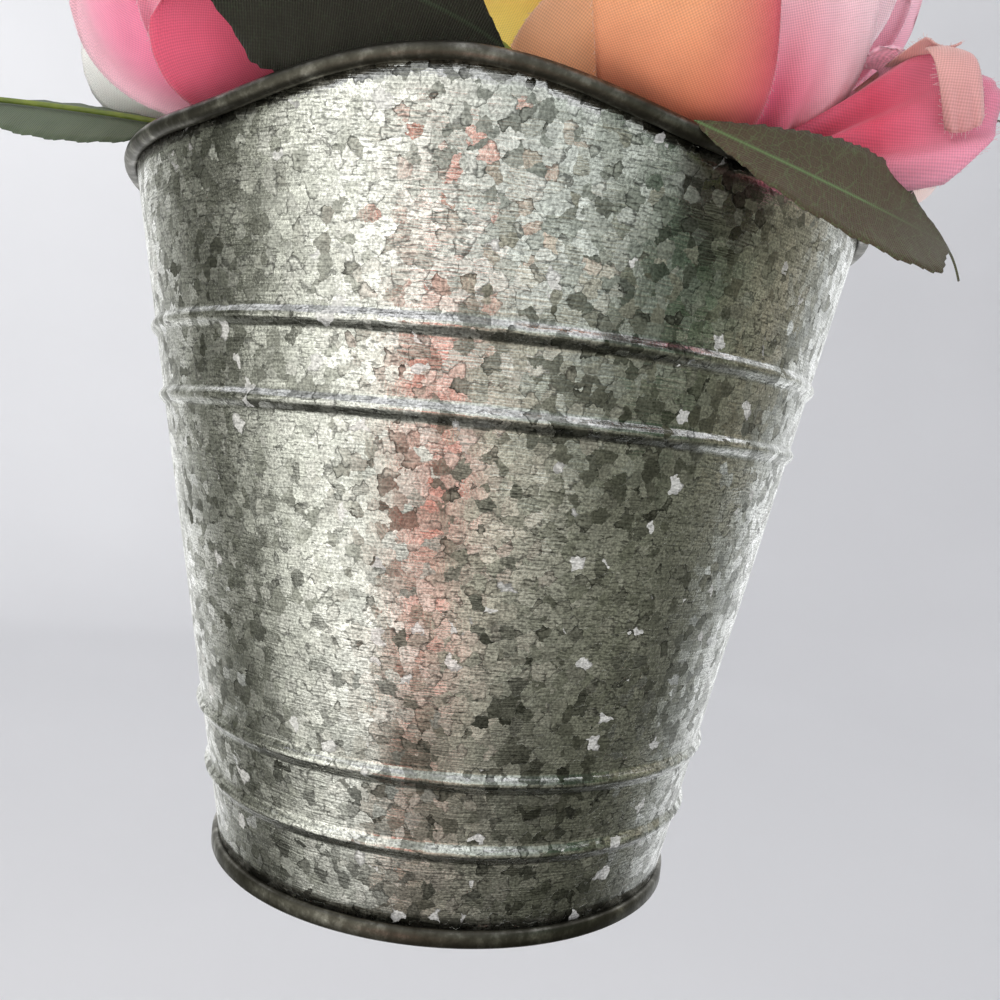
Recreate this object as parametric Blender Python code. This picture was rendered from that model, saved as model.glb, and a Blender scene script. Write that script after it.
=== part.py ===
"""Artificial roses in a flat-backed hanging tin.

Metres, +Z up, the tin's front towards -Y. The origin is the centre of the hanging hole,
on the back face that lies against the wall. Inside the empty "tin_axis" every piece is
modelled about the tin's own upright axis, with the foot of the tin at z = 0.
"""
import math

import bmesh
import bpy
from mathutils import Matrix, Vector

for leftover in list(bpy.data.objects):
    bpy.data.objects.remove(leftover, do_unlink=True)

# ---- driving dimensions -------------------------------------------------------------
GAP = 0.0003                    # clearance between pieces that touch on the real thing

SHEET = 0.0006                  # galvanised sheet
FOOT_RADIUS = 0.0505            # outside of the wall where it meets the chime
RIM_RADIUS = 0.0780             # outside of the wall at the level part of the rim
RIM_LEVEL = 0.1420              # centre of the rolled rim along the sides
FRONT_CROWN = 0.0071            # rise of the rim at the middle of the front
FRONT_CROWN_HALF_ANGLE = math.radians(37.0)
BACK_CROWN = 0.0130             # rise of the back plate around the hanging hole
BACK_CROWN_HALF_WIDTH = 0.0400
WALL_DISTANCE = 0.0430          # tin axis to the wall behind
CHIME_HEIGHT = 0.0033
CHIME_PROUD = 0.0012
BEAD_RADIUS = 0.0015            # half the thickness of the rolled rim
BEAD_OFFSET = 0.0008            # how far its centre lies outside the wall
RIB_HEIGHTS = (0.0187, 0.0326, 0.0963, 0.1100)
RIB_HALF_WIDTH = 0.0019
RIB_PROUD = 0.0011
HOLE_HEIGHT = 0.1380
HOLE_RADIUS = 0.0042
FOAM_TOP = 0.1270
SOCKET_DEPTH = 0.0450           # how deep a rose stem goes into the foam

STEM_RADIUS = 0.0020
WIRE_RADIUS = 0.0008            # leaf wires
CALYX = 0.0060                  # depth of the green cup under a flower
PETAL = 0.0007                  # petal cloth with its stiffening
LEAF_SHEET = 0.0006
ARC_STEPS = 36                  # steps round the curved wall
BACK_STEPS = 10                 # steps across the flat back

TAPER = (RIM_RADIUS - FOOT_RADIUS) / (RIM_LEVEL - CHIME_HEIGHT)
BACK_INSIDE = WALL_DISTANCE - SHEET - GAP

# Each rose: middle of the flower, compass angle from the front (+ to the right) and lean
# of its axis from upright, in degrees, then the radius of the open flower.
ROSES = {
    "rose_left": ((-0.047, -0.046, 0.173), -43, 42, 0.0360),
    "rose_front": ((0.028, -0.059, 0.180), 23, 40, 0.0335),
    "rose_right": ((0.080, -0.012, 0.181), 80, 42, 0.0325),
    "rose_top": ((-0.005, -0.011, 0.213), 0, 6, 0.0375),
    "rose_side": ((-0.083, 0.010, 0.184), -94, 42, 0.0300),
    "rose_rear": ((0.036, 0.0165, 0.181), 150, 12, 0.0240),
}

# Each leaf: foot of its wire in the foam (x, y), start of the blade, point that bends
# it, tip, width of the blade, and its roll about the midrib in degrees (+ right side down).
LEAVES = {
    "leaf_right": ((0.026, -0.040), (0.0360, -0.0660, 0.1490), (0.0540, -0.0690, 0.1420),
                   (0.0890, -0.0420, 0.1310), 0.033, 38),
    "leaf_left": ((-0.040, -0.010), (-0.0700, -0.0190, 0.1530), (-0.0960, -0.0200, 0.1590),
                  (-0.1300, -0.0300, 0.1500), 0.030, 0),
    "leaf_front": ((-0.006, -0.034), (-0.0030, -0.0660, 0.1540), (-0.0260, -0.0830, 0.1620),
                   (-0.0600, -0.0830, 0.1600), 0.034, 30),
    "leaf_far_right": ((0.050, 0.012), (0.0640, 0.0250, 0.1560), (0.0860, 0.0310, 0.1800),
                       (0.1220, 0.0220, 0.1850), 0.026, 0),
    "leaf_rear_left": ((-0.030, 0.024), (-0.0300, 0.0290, 0.1550), (-0.0420, 0.0350, 0.1920),
                       (-0.0720, 0.0320, 0.2120), 0.028, -62),
    "leaf_rear_right": ((0.020, 0.031), (0.0530, 0.0300, 0.1560), (0.0690, 0.0355, 0.1890),
                        (0.0920, 0.0315, 0.2090), 0.024, 64),
    "leaf_rear_side": ((-0.044, 0.022), (-0.0600, 0.0290, 0.1530), (-0.0820, 0.0340, 0.1660),
                       (-0.1120, 0.0280, 0.1640), 0.020, -20),
    "leaf_mid_left": ((-0.022, -0.008), (-0.0370, -0.0050, 0.1620), (-0.0520, -0.0090, 0.1960),
                      (-0.0720, -0.0160, 0.2200), 0.022, 30),
    "leaf_mid_right": ((0.030, -0.014), (0.0330, -0.0170, 0.1620), (0.0400, -0.0210, 0.2000),
                       (0.0560, -0.0380, 0.2240), 0.020, -30),
    "leaf_rear_top": ((0.004, 0.024), (0.0040, 0.0240, 0.1600), (0.0020, 0.0290, 0.2000),
                      (-0.0020, 0.0375, 0.2340), 0.030, 0),
}


# ---- small helpers ------------------------------------------------------------------
def bump(distance, half_width):
    """A smooth hill: 1 in the middle, 0 at half_width and beyond."""
    if abs(distance) >= half_width:
        return 0.0
    return math.cos(0.5 * math.pi * distance / half_width) ** 2


def wall_radius(z):
    return FOOT_RADIUS + TAPER * (z - CHIME_HEIGHT)


def arc_limit(radius, back):
    """Angle from the front at which a circle of this radius meets the plane y = back."""
    return math.acos(max(-1.0, -back / radius))


def front_rim_height(angle):
    return RIM_LEVEL + FRONT_CROWN * bump(angle, FRONT_CROWN_HALF_ANGLE)


def back_rim_height(x):
    return RIM_LEVEL + BACK_CROWN * bump(x, BACK_CROWN_HALF_WIDTH)


def on_circle(radius, angle, z):
    return Vector((radius * math.sin(angle), -radius * math.cos(angle), z))


def leaning_axis(compass, lean):
    angle = math.radians(compass)
    tilt = math.radians(lean)
    return Vector((math.sin(tilt) * math.sin(angle), -math.sin(tilt) * math.cos(angle), math.cos(tilt)))


def material(name, rgb, roughness, metallic=0.0):
    mat = bpy.data.materials.new(name)
    mat.use_nodes = True
    shader = mat.node_tree.nodes["Principled BSDF"]
    shader.inputs["Base Color"].default_value = (*rgb, 1.0)
    shader.inputs["Roughness"].default_value = roughness
    shader.inputs["Metallic"].default_value = metallic
    mat.diffuse_color = (*rgb, 1.0)
    return mat


tin_axis = bpy.data.objects.new("tin_axis", None)
tin_axis.location = (0.0, -WALL_DISTANCE, -HOLE_HEIGHT)
bpy.context.scene.collection.objects.link(tin_axis)


def add_piece(name, points, faces, mat, sharp_angle=40.0):
    mesh = bpy.data.meshes.new(name)
    mesh.from_pydata([tuple(p) for p in points], [], faces)
    mesh.validate()
    bm = bmesh.new()
    bm.from_mesh(mesh)
    bmesh.ops.recalc_face_normals(bm, faces=bm.faces)
    bm.to_mesh(mesh)
    bm.free()
    mesh.shade_smooth()
    mesh.set_sharp_from_angle(angle=math.radians(sharp_angle))
    mesh.materials.append(mat)
    piece = bpy.data.objects.new(name, mesh)
    bpy.context.scene.collection.objects.link(piece)
    piece.parent = tin_axis
    return piece


def skin_rings(rings, close_path=False):
    """Faces between equal rings of points; open paths get a cap at both ends."""
    count = len(rings[0])
    points = [p for ring in rings for p in ring]
    faces = []
    last = len(rings) if close_path else len(rings) - 1
    for i in range(last):
        a = i * count
        b = ((i + 1) % len(rings)) * count
        for j in range(count):
            k = (j + 1) % count
            faces.append((a + j, a + k, b + k, b + j))
    if not close_path:
        faces.append(tuple(reversed(range(count))))
        faces.append(tuple(range((len(rings) - 1) * count, len(rings) * count)))
    return points, faces


def sweep(path, outline, closed=False, up=Vector((0, 0, 1))):
    """Carry a flat outline of (outward, upward) offsets along a path of points."""
    rings = []
    n = len(path)
    for i, here in enumerate(path):
        before = path[(i - 1) % n] if closed or i > 0 else here
        after = path[(i + 1) % n] if closed or i < n - 1 else here
        along = (after - before).normalized()
        side = along.cross(up).normalized()
        top = side.cross(along).normalized()
        rings.append([here + side * u + top * v for u, v in outline])
    return skin_rings(rings, close_path=closed)


def round_outline(radius, sides):
    step = 2.0 * math.pi / sides
    return [(radius * math.cos(step * i), radius * math.sin(step * i)) for i in range(sides)]


def tube(path, radius, sides=6):
    """A round rod along a path, its ring turned as little as possible from point to point."""
    rings = []
    along = (path[1] - path[0]).normalized()
    side = along.orthogonal().normalized()
    for i, here in enumerate(path):
        before = path[max(i - 1, 0)]
        after = path[min(i + 1, len(path) - 1)]
        new_along = (after - before).normalized()
        side = along.rotation_difference(new_along) @ side
        along = new_along
        top = along.cross(side).normalized()
        rings.append([here + side * u + top * v for u, v in round_outline(radius, sides)])
    return skin_rings(rings)


def bezier(start, bend, end, steps):
    points = []
    for i in range(steps + 1):
        t = i / steps
        points.append(start * (1 - t) ** 2 + bend * (2 * t * (1 - t)) + end * t ** 2)
    return points


# ---- the tin --------------------------------------------------------------------------
zinc = material("galvanised_sheet", (0.56, 0.57, 0.56), 0.35, 1.0)
zinc_dark = material("rolled_zinc_edge", (0.16, 0.16, 0.155), 0.45, 1.0)


def wall_rows():
    """(height, bulge) of each row of the wall between the chime and the rim."""
    rows = [(CHIME_HEIGHT + GAP, 0.0)]
    for rib in RIB_HEIGHTS:
        rows += [(rib - RIB_HALF_WIDTH, 0.0), (rib, RIB_PROUD), (rib + RIB_HALF_WIDTH, 0.0)]
    rows.append((RIM_LEVEL - 0.010, 0.0))
    return rows


def front_wall():
    """The curved sheet with its four pressed ribs, from seam to seam."""
    rows = wall_rows()
    grid = {}
    points = []

    def add(point):
        points.append(point)
        return len(points) - 1

    for layer, inset in enumerate((0.0, SHEET)):
        for row in range(len(rows) + 1):
            for step in range(ARC_STEPS + 1):
                share = 2.0 * step / ARC_STEPS - 1.0
                if row < len(rows):
                    z, bulge = rows[row]
                else:
                    guess = share * arc_limit(RIM_RADIUS, BACK_INSIDE)
                    z, bulge = front_rim_height(guess) - BEAD_RADIUS - GAP, 0.0
                radius = wall_radius(z) + bulge - inset
                angle = share * arc_limit(radius, BACK_INSIDE)
                grid[layer, row, step] = add(on_circle(radius, angle, z))
    faces = []
    top = len(rows)
    for row in range(top):
        for step in range(ARC_STEPS):
            a, b = grid[0, row, step], grid[0, row, step + 1]
            c, d = grid[0, row + 1, step + 1], grid[0, row + 1, step]
            faces.append((a, b, c, d))
            a, b = grid[1, row, step], grid[1, row, step + 1]
            c, d = grid[1, row + 1, step + 1], grid[1, row + 1, step]
            faces.append((d, c, b, a))
    for step in range(ARC_STEPS):
        for row, order in ((0, 1), (top, -1)):
            edge = (grid[1, row, step], grid[1, row, step + 1], grid[0, row, step + 1], grid[0, row, step])
            faces.append(edge[::order])
    for row in range(top):
        for step, order in ((0, 1), (ARC_STEPS, -1)):
            edge = (grid[1, row, step], grid[0, row, step], grid[0, row + 1, step], grid[1, row + 1, step])
            faces.append(edge[::order])
    return add_piece("front_wall", points, faces, zinc)


def back_plate():
    """The flat back with a crowned top edge and the hanging hole."""
    outline = []
    side_steps = 6
    low = CHIME_HEIGHT + GAP
    high = RIM_LEVEL - BEAD_RADIUS - GAP

    def half_width(z):
        return math.sqrt(wall_radius(z) ** 2 - BACK_INSIDE ** 2)

    for i in range(side_steps + 1):
        z = low + (high - low) * i / side_steps
        outline.append((half_width(z), z))
    for i in range(1, 2 * BACK_STEPS):
        x = half_width(high) * (1.0 - i / BACK_STEPS)
        outline.append((x, back_rim_height(x) - BEAD_RADIUS - GAP))
    for i in range(side_steps + 1):
        z = high - (high - low) * i / side_steps
        outline.append((-half_width(z), z))
    rings = [[Vector((x, y, z)) for x, z in outline] for y in (WALL_DISTANCE - SHEET, WALL_DISTANCE)]
    points, faces = skin_rings(rings)
    plate = add_piece("back_plate", points, faces, zinc)

    path = [Vector((0.0, WALL_DISTANCE + dy, HOLE_HEIGHT)) for dy in (-0.003, 0.003)]
    points, faces = tube(path, HOLE_RADIUS, sides=20)
    drill = add_piece("hanging_hole_cutter", points, faces, zinc)
    drill.hide_render = True
    drill.display_type = "WIRE"
    cut = plate.modifiers.new("hanging_hole", "BOOLEAN")
    cut.operation = "DIFFERENCE"
    cut.solver = "EXACT"
    cut.object = drill
    return plate


def d_loop(radius, back, front_height, back_height, arc_steps, back_steps):
    """A closed path: round the curved front, then straight across the back."""
    limit = arc_limit(radius, back)
    path = []
    for i in range(arc_steps + 1):
        angle = limit * (2.0 * i / arc_steps - 1.0)
        path.append(on_circle(radius, angle, front_height(angle)))
    half = radius * math.sin(limit)
    for i in range(1, back_steps):
        x = half * (1.0 - 2.0 * i / back_steps)
        path.append(Vector((x, back, back_height(x))))
    return path


def rolled_rim():
    """The sheet's top edge rolled over a wire, all the way round."""
    back = WALL_DISTANCE - BEAD_RADIUS
    path = d_loop(RIM_RADIUS + BEAD_OFFSET, back, front_rim_height, back_rim_height, 44, 14)
    points, faces = sweep(path, round_outline(BEAD_RADIUS, 8), closed=True)
    return add_piece("rolled_rim", points, faces, zinc_dark)


def flat(height):
    return lambda _: height


def foot():
    """The chime, a folded ring that grips the wall, and the base plate inside it."""
    thick = 0.0022
    radius = FOOT_RADIUS + CHIME_PROUD - thick / 2
    back = WALL_DISTANCE - thick / 2
    path = d_loop(radius, back, flat(CHIME_HEIGHT / 2), flat(CHIME_HEIGHT / 2), 40, 6)
    half_t, half_h, soft = thick / 2, CHIME_HEIGHT / 2, 0.0004
    outline = [(half_t, -half_h + soft), (half_t, half_h - soft), (half_t - soft, half_h), (-half_t, half_h),
               (-half_t, -half_h), (half_t - soft, -half_h)]
    points, faces = sweep(path, outline, closed=True)
    add_piece("base_chime", points, faces, zinc_dark)

    inset = thick / 2 + 2 * GAP
    outer = d_loop(radius - inset, back - inset, flat(0.0), flat(0.0), 40, 6)
    rings = [[p + Vector((0, 0, z)) for p in outer] for z in (0.0016, 0.0016 + SHEET)]
    points, faces = skin_rings(rings)
    add_piece("base_plate", points, faces, zinc)


# ---- foam, stems and leaf wires ---------------------------------------------------------
foam_green = material("floral_foam", (0.13, 0.20, 0.09), 0.95)
stem_green = material("stem_plastic", (0.10, 0.22, 0.06), 0.5)
wire_green = material("leaf_wire_plastic", (0.20, 0.30, 0.07), 0.5)
calyx_green = material("calyx_plastic", (0.12, 0.25, 0.07), 0.5)
sockets = []


def socket(foot_point, out, radius, sides):
    """A cutter a little wider and deeper than the rod that goes into the foam."""
    down = (foot_point - out).normalized()
    points, faces = tube([foot_point + down * GAP, out], radius + GAP, sides)
    cutter = add_piece("socket_cutter_%d" % len(sockets), points, faces, foam_green)
    cutter.hide_render = True
    cutter.display_type = "WIRE"
    sockets.append(cutter)


def foam_block():
    """Foam cut to the inside of the tin, with a hole for each stem and wire."""
    low, high = CHIME_HEIGHT + 2 * GAP, FOAM_TOP
    rings = []
    for z in (low, high):
        radius = wall_radius(z) - SHEET - 0.0010
        rings.append(d_loop(radius, BACK_INSIDE - 0.0008, flat(z), flat(z), 30, 4))
    points, faces = skin_rings(rings)
    block = add_piece("foam_block", points, faces, foam_green)
    for cutter in sockets:
        cut = block.modifiers.new(cutter.name, "BOOLEAN")
        cut.operation = "DIFFERENCE"
        cut.solver = "EXACT"
        cut.object = cutter
    return block


# ---- roses ------------------------------------------------------------------------------
PINK = (0.85, 0.17, 0.26)
PEACH = (0.86, 0.36, 0.17)
YELLOW = (0.86, 0.62, 0.12)
CREAM = (0.78, 0.75, 0.58)
ROSE_COLOURS = {"rose_left": PINK, "rose_right": PINK, "rose_front": PEACH, "rose_top": YELLOW,
                "rose_side": CREAM, "rose_rear": CREAM}
CUP_STEPS = 20


def axis_frame(middle, compass, lean, radius):
    """Matrix that stands a flower, modelled about +Z from its foot, in its place."""
    axis = leaning_axis(compass, lean)
    foot_point = Vector(middle) - axis * (0.85 * radius)
    turn = Vector((0, 0, 1)).rotation_difference(axis).to_matrix().to_4x4()
    return Matrix.Translation(foot_point) @ turn


def turned(profile, steps, lobes=0, lobe_depth=0.0):
    """Close a profile of (radius, height), from axis to axis, round the Z axis."""
    points = [Vector((0.0, 0.0, profile[0][1]))]
    rings = []
    top = profile[len(profile) // 2][1]
    for r, z in profile[1:-1]:
        ring = []
        for i in range(steps):
            angle = 2.0 * math.pi * i / steps
            wave = lobe_depth * math.cos(lobes * angle) * max(0.0, z / top)
            ring.append(len(points))
            points.append(Vector((r * math.cos(angle), r * math.sin(angle), z + wave * r)))
        rings.append(ring)
    points.append(Vector((0.0, 0.0, profile[-1][1])))
    faces = []
    for i in range(steps):
        j = (i + 1) % steps
        faces.append((0, rings[0][j], rings[0][i]))
        faces.append((len(points) - 1, rings[-1][i], rings[-1][j]))
        for a, b in zip(rings, rings[1:]):
            faces.append((a[i], a[j], b[j], b[i]))
    return points, faces


def cup_profile(outside, thickness):
    """Turn an outside line (axis first) into a thin cup: out, over the lip and back in."""
    inside = []
    last = len(outside) - 1
    for i, (r, z) in enumerate(outside):
        before = outside[max(i - 1, 0)]
        after = outside[min(i + 1, last)]
        dr, dz = after[0] - before[0], after[1] - before[1]
        length = math.hypot(dr, dz)
        inside.append((max(0.0, r - thickness * dz / length), z + thickness * dr / length))
    inside[0] = (0.0, outside[0][1] + thickness)
    return outside + inside[::-1]


def rose(name, middle, compass, lean, radius):
    frame = axis_frame(middle, compass, lean, radius)
    petals = material(name + "_cloth", ROSE_COLOURS[name], 0.7)

    def scaled(line):
        return [(r * radius, z * radius) for r, z in line]

    def place(part, points, faces, mat):
        return add_piece(name + "_" + part, [frame @ p for p in points], faces, mat)

    seat = 0.10 * radius                    # where the lowest petals sit on the calyx
    layer = PETAL + GAP
    outer = [(0, seat)] + scaled([(0.30, 0.14), (0.66, 0.42), (0.86, 0.85), (1.0, 1.22)])
    place("outer_petals", *turned(cup_profile(outer, PETAL), CUP_STEPS, 5, 0.05), petals)
    inner = [(0, seat + layer)] + scaled([(0.24, 0.21), (0.50, 0.55), (0.60, 0.95), (0.66, 1.36)])
    place("inner_petals", *turned(cup_profile(inner, PETAL), CUP_STEPS, 4, 0.05), petals)
    heart = scaled([(0.16, 0.27), (0.40, 0.62), (0.47, 0.98), (0.40, 1.34), (0.20, 1.46), (0, 1.48)])
    place("heart", *turned([(0, seat + 2 * layer)] + heart, 12), petals)
    calyx_top = seat - GAP
    calyx = [(0, -CALYX), (0.0026, 0.0002 - CALYX), (0.0052, 0.4 * -CALYX), (0.0062, -0.0006),
             (0.0056, calyx_top), (0, calyx_top)]
    place("calyx", *turned(calyx, 10), calyx_green)

    stem_top = frame @ Vector((0, 0, -CALYX - GAP))
    axis = (frame.to_3x3() @ Vector((0, 0, 1))).normalized()
    root = Vector((stem_top.x * 0.62, stem_top.y * 0.62, FOAM_TOP - SOCKET_DEPTH))
    out = root.lerp(Vector((stem_top.x * 0.78, stem_top.y * 0.78, FOAM_TOP)), 1.02)
    path = [root] + bezier(out, stem_top - axis * 0.010, stem_top, 5)
    points, faces = tube(path, STEM_RADIUS, sides=8)
    add_piece(name + "_stem", points, faces, stem_green)
    socket(root, out, STEM_RADIUS, 8)


# ---- leaves -----------------------------------------------------------------------------
leaf_green = material("leaf_cloth", (0.05, 0.10, 0.04), 0.65)
LEAF_STEPS = 8


def leaf_half_width(t):
    """Share of the full half width at t along the blade: pointed tip, rounded foot."""
    return (math.sin(math.pi * t ** 0.75) ** 0.8) * (1.0 - 0.25 * t)


def leaf_side(along, roll):
    """Direction across the blade, to its right when looking from foot to tip."""
    level = along.cross(Vector((0, 0, 1))).normalized()
    return Matrix.Rotation(math.radians(roll), 3, along) @ level


def leaf(name, root, start, bend, tip, width, roll):
    start, bend, tip = Vector(start), Vector(bend), Vector(tip)
    middle = bezier(start, bend, tip, LEAF_STEPS)
    rings = []
    last = len(middle) - 1
    for i, here in enumerate(middle):
        along = (middle[min(i + 1, last)] - middle[max(i - 1, 0)]).normalized()
        side = leaf_side(along, roll)
        up = side.cross(along).normalized()
        t = min(max(i / last, 0.02), 0.985)
        half = max(0.0006, 0.5 * width * leaf_half_width(t))
        lift = 0.12 * half
        over = [here + side * (half * s) + up * (lift * abs(s) + LEAF_SHEET) for s in (-1, -0.5, 0, 0.5, 1)]
        under = [here + side * (half * s) + up * (lift * abs(s)) for s in (1, 0.5, 0, -0.5, -1)]
        rings.append(over + under)
    points, faces = skin_rings(rings)
    add_piece(name, points, faces, leaf_green)

    below = WIRE_RADIUS + GAP
    under_blade = []
    for i in range(LEAF_STEPS // 2 + 2):
        along = (middle[i + 1] - middle[max(i - 1, 0)]).normalized()
        under_blade.append(middle[i] - leaf_side(along, roll).cross(along).normalized() * below)
    low = Vector((root[0], root[1], FOAM_TOP - 0.018))
    out = Vector((root[0] + 0.25 * (start.x - root[0]), root[1] + 0.25 * (start.y - root[1]), FOAM_TOP + 0.004))
    first = under_blade[0]
    back_off = (under_blade[1] - first).normalized() * 0.010
    rise = bezier(out, first - back_off, first, 4)
    path = [low, out] + rise[1:] + under_blade[1:]
    points, faces = tube(path, WIRE_RADIUS, sides=6)
    add_piece(name + "_wire", points, faces, wire_green)
    socket(low, out, WIRE_RADIUS, 6)


front_wall()
back_plate()
rolled_rim()
foot()
for rose_name, values in ROSES.items():
    rose(rose_name, *values)
for leaf_name, values in LEAVES.items():
    leaf(leaf_name, *values)
foam_block()
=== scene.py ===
# %% [markdown]
# # Cloth roses in a hanging tin
# A small galvanised tin with a flat back hangs on a wall. It holds six roses and ten leaves
# made of woven cloth, on wired plastic stems pushed into floral foam. The solid frame of the
# model is loaded first. Each step after that gives one piece its real surface: the pressed
# sheet, the rolled edge, the petals, the leaves. Everything is in metres, +Z up, and the
# tin's front looks towards -Y.

# %% The frame
import math

import bmesh
import bpy
import numpy as np
from mathutils import Matrix, Vector


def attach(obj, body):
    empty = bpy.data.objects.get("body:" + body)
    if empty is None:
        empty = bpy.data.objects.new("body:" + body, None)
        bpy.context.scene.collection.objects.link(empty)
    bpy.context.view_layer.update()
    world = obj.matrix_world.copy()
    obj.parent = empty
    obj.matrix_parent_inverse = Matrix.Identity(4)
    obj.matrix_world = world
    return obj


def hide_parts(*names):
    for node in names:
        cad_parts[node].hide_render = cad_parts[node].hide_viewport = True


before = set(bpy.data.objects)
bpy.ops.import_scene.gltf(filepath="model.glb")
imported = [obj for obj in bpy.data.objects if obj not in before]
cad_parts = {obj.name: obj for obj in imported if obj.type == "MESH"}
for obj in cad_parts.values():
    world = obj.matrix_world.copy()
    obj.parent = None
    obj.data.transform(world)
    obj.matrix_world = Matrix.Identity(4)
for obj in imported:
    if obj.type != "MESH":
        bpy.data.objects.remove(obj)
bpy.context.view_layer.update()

# %% [markdown]
# The tin is a cone cut by a flat back, so its sizes are all measured from the cone's own
# upright axis, with the foot of the tin at zero height. The frame's origin is somewhere else:
# in the hanging hole at the back. Each piece is therefore modelled about the tin's axis and
# shifted once, when its mesh is made, so that every object can stay at the origin, unturned.

# %% Sizes of the tin
GAP = 0.0003                        # clearance between pieces that lie on each other
SHEET = 0.0006                      # thickness of the galvanised sheet
FOOT_RADIUS = 0.0505
RIM_RADIUS = 0.0780
RIM_LEVEL = 0.1420                  # height of the rim at the sides
FRONT_CROWN = 0.0071                # how much the rim rises at the middle of the front
FRONT_CROWN_HALF_ANGLE = math.radians(37.0)
BACK_CROWN = 0.0130                 # the same at the back, over the hanging hole
BACK_CROWN_HALF_WIDTH = 0.0400
WALL_DISTANCE = 0.0430              # from the cone's axis to the flat back
CHIME_HEIGHT = 0.0033               # the folded ring round the foot
CHIME_PROUD = 0.0012                # how far it stands out from the wall
BEAD_RADIUS = 0.0015                # the rolled edge of the rim
BEAD_OFFSET = 0.0008
RIB_HEIGHTS = (0.0187, 0.0326, 0.0963, 0.1100)     # two near the foot, two near the rim
RIB_HALF_WIDTH = 0.0019
RIB_PROUD = 0.0011
HOLE_HEIGHT = 0.1380
FOAM_TOP = 0.1270
TAPER = (RIM_RADIUS - FOOT_RADIUS) / (RIM_LEVEL - CHIME_HEIGHT)
BACK_INSIDE = WALL_DISTANCE - SHEET - GAP
TO_FRAME = np.array((0.0, -WALL_DISTANCE, -HOLE_HEIGHT))
MM = 0.001
print("the wall leans out", round(math.degrees(math.atan(TAPER)), 1), "degrees")

# %% [markdown]
# A shader and a Geometry Nodes tree are both graphs of nodes, so one helper serves both. It
# adds a node, sets the node's own choices, and fills its sockets with values or with the
# output of an earlier node. A colour ramp also gets its stops. Colours are written as the hex
# codes that a paint card would show, and one function turns them to the linear light that
# Blender works in.

# %% Node and colour helpers
def put(tree, kind, inputs=(), stops=(), **choices):
    """Adds a node. Inputs, by name or in order, are values, sockets or nodes.
    Stops, for a colour ramp, are pairs of place and colour."""
    node = tree.nodes.new(kind)
    for key, value in choices.items():
        setattr(node, key, value)
    elements = node.color_ramp.elements if stops else ()
    while len(elements) < len(stops):
        elements.new(0.5)
    for element, (place, colour) in zip(elements, stops):
        element.position, element.color = place, colour
    pairs = inputs.items() if isinstance(inputs, dict) else enumerate(inputs)
    for key, value in pairs:
        if isinstance(value, bpy.types.Node):
            value = value.outputs[0]
        if isinstance(value, bpy.types.NodeSocket):
            tree.links.new(value, node.inputs[key])
        elif value is not None:
            node.inputs[key].default_value = value
    return node


def linear(hex_code):
    """An sRGB hex colour as linear RGBA."""
    shares = [int(hex_code[i:i + 2], 16) / 255 for i in (1, 3, 5)]
    return (*[s / 12.92 if s <= 0.04045 else ((s + 0.055) / 1.055) ** 2.4 for s in shares], 1.0)


def new_material(name):
    """A material with its node tree, its shader and a node for texture coordinates."""
    material = bpy.data.materials.new(name)
    material.use_nodes = True
    tree = material.node_tree
    return material, tree, tree.nodes["Principled BSDF"], put(tree, "ShaderNodeTexCoord")


# %% [markdown]
# The camera stands close to the tin, a little to its right and about two thirds of the way
# up, and is tilted sideways by a few degrees. Being so close gives the strong taper: the rim
# is nearer to the lens than the foot is. Its place is set as turns about the tin's axis and
# about the lens, one after the other.

# %% Camera
CAMERA_DISTANCE = 0.2230
CAMERA_HEIGHT = 0.0899
CAMERA_COMPASS = math.radians(7.0)          # round the tin, towards its right side
CAMERA_AIM_RIGHT = math.radians(1.66)
CAMERA_AIM_DOWN = math.radians(2.41)
CAMERA_ROLL = math.radians(5.67)
SENSOR_WIDTH = 36.0                         # in millimetres, as Blender takes them
FOCAL_LENGTH = 34.56
NEAREST_SEEN = 0.01

camera_data = bpy.data.cameras.new("camera")
camera_data.sensor_width = SENSOR_WIDTH
camera_data.lens = FOCAL_LENGTH
camera_data.clip_start = NEAREST_SEEN
camera = bpy.data.objects.new("camera", camera_data)
bpy.context.scene.collection.objects.link(camera)
bpy.context.scene.camera = camera
place = Vector((CAMERA_DISTANCE * math.sin(CAMERA_COMPASS),
                -CAMERA_DISTANCE * math.cos(CAMERA_COMPASS), CAMERA_HEIGHT)) + Vector(TO_FRAME)
camera.matrix_world = (Matrix.Translation(place)
                       @ Matrix.Rotation(CAMERA_COMPASS - CAMERA_AIM_RIGHT, 4, "Z")
                       @ Matrix.Rotation(math.pi / 2 - CAMERA_AIM_DOWN, 4, "X")
                       @ Matrix.Rotation(CAMERA_ROLL, 4, "Z"))
bpy.context.scene.view_settings.view_transform = "Standard"
print("camera at", [round(v, 4) for v in place])

# %% [markdown]
# Meshes in this file are mostly grids of points: rows and columns that a formula bends into
# a wall, a petal or a leaf. One function turns such a grid into an object. It shifts the
# points from the tin's axis to the frame, adds a UV map in metres, so that a weave has the
# same thread spacing on every petal, and can store a colour for each point.

# %% Mesh helpers
def grid_faces(rows, columns, first=0, ring=False):
    """Quads between neighbouring points of a grid stored row after row."""
    faces = []
    last = columns if ring else columns - 1
    for i in range(rows - 1):
        for j in range(last):
            k = (j + 1) % columns
            a, b = first + i * columns, first + (i + 1) * columns
            faces.append((a + j, a + k, b + k, b + j))
    return faces


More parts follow.
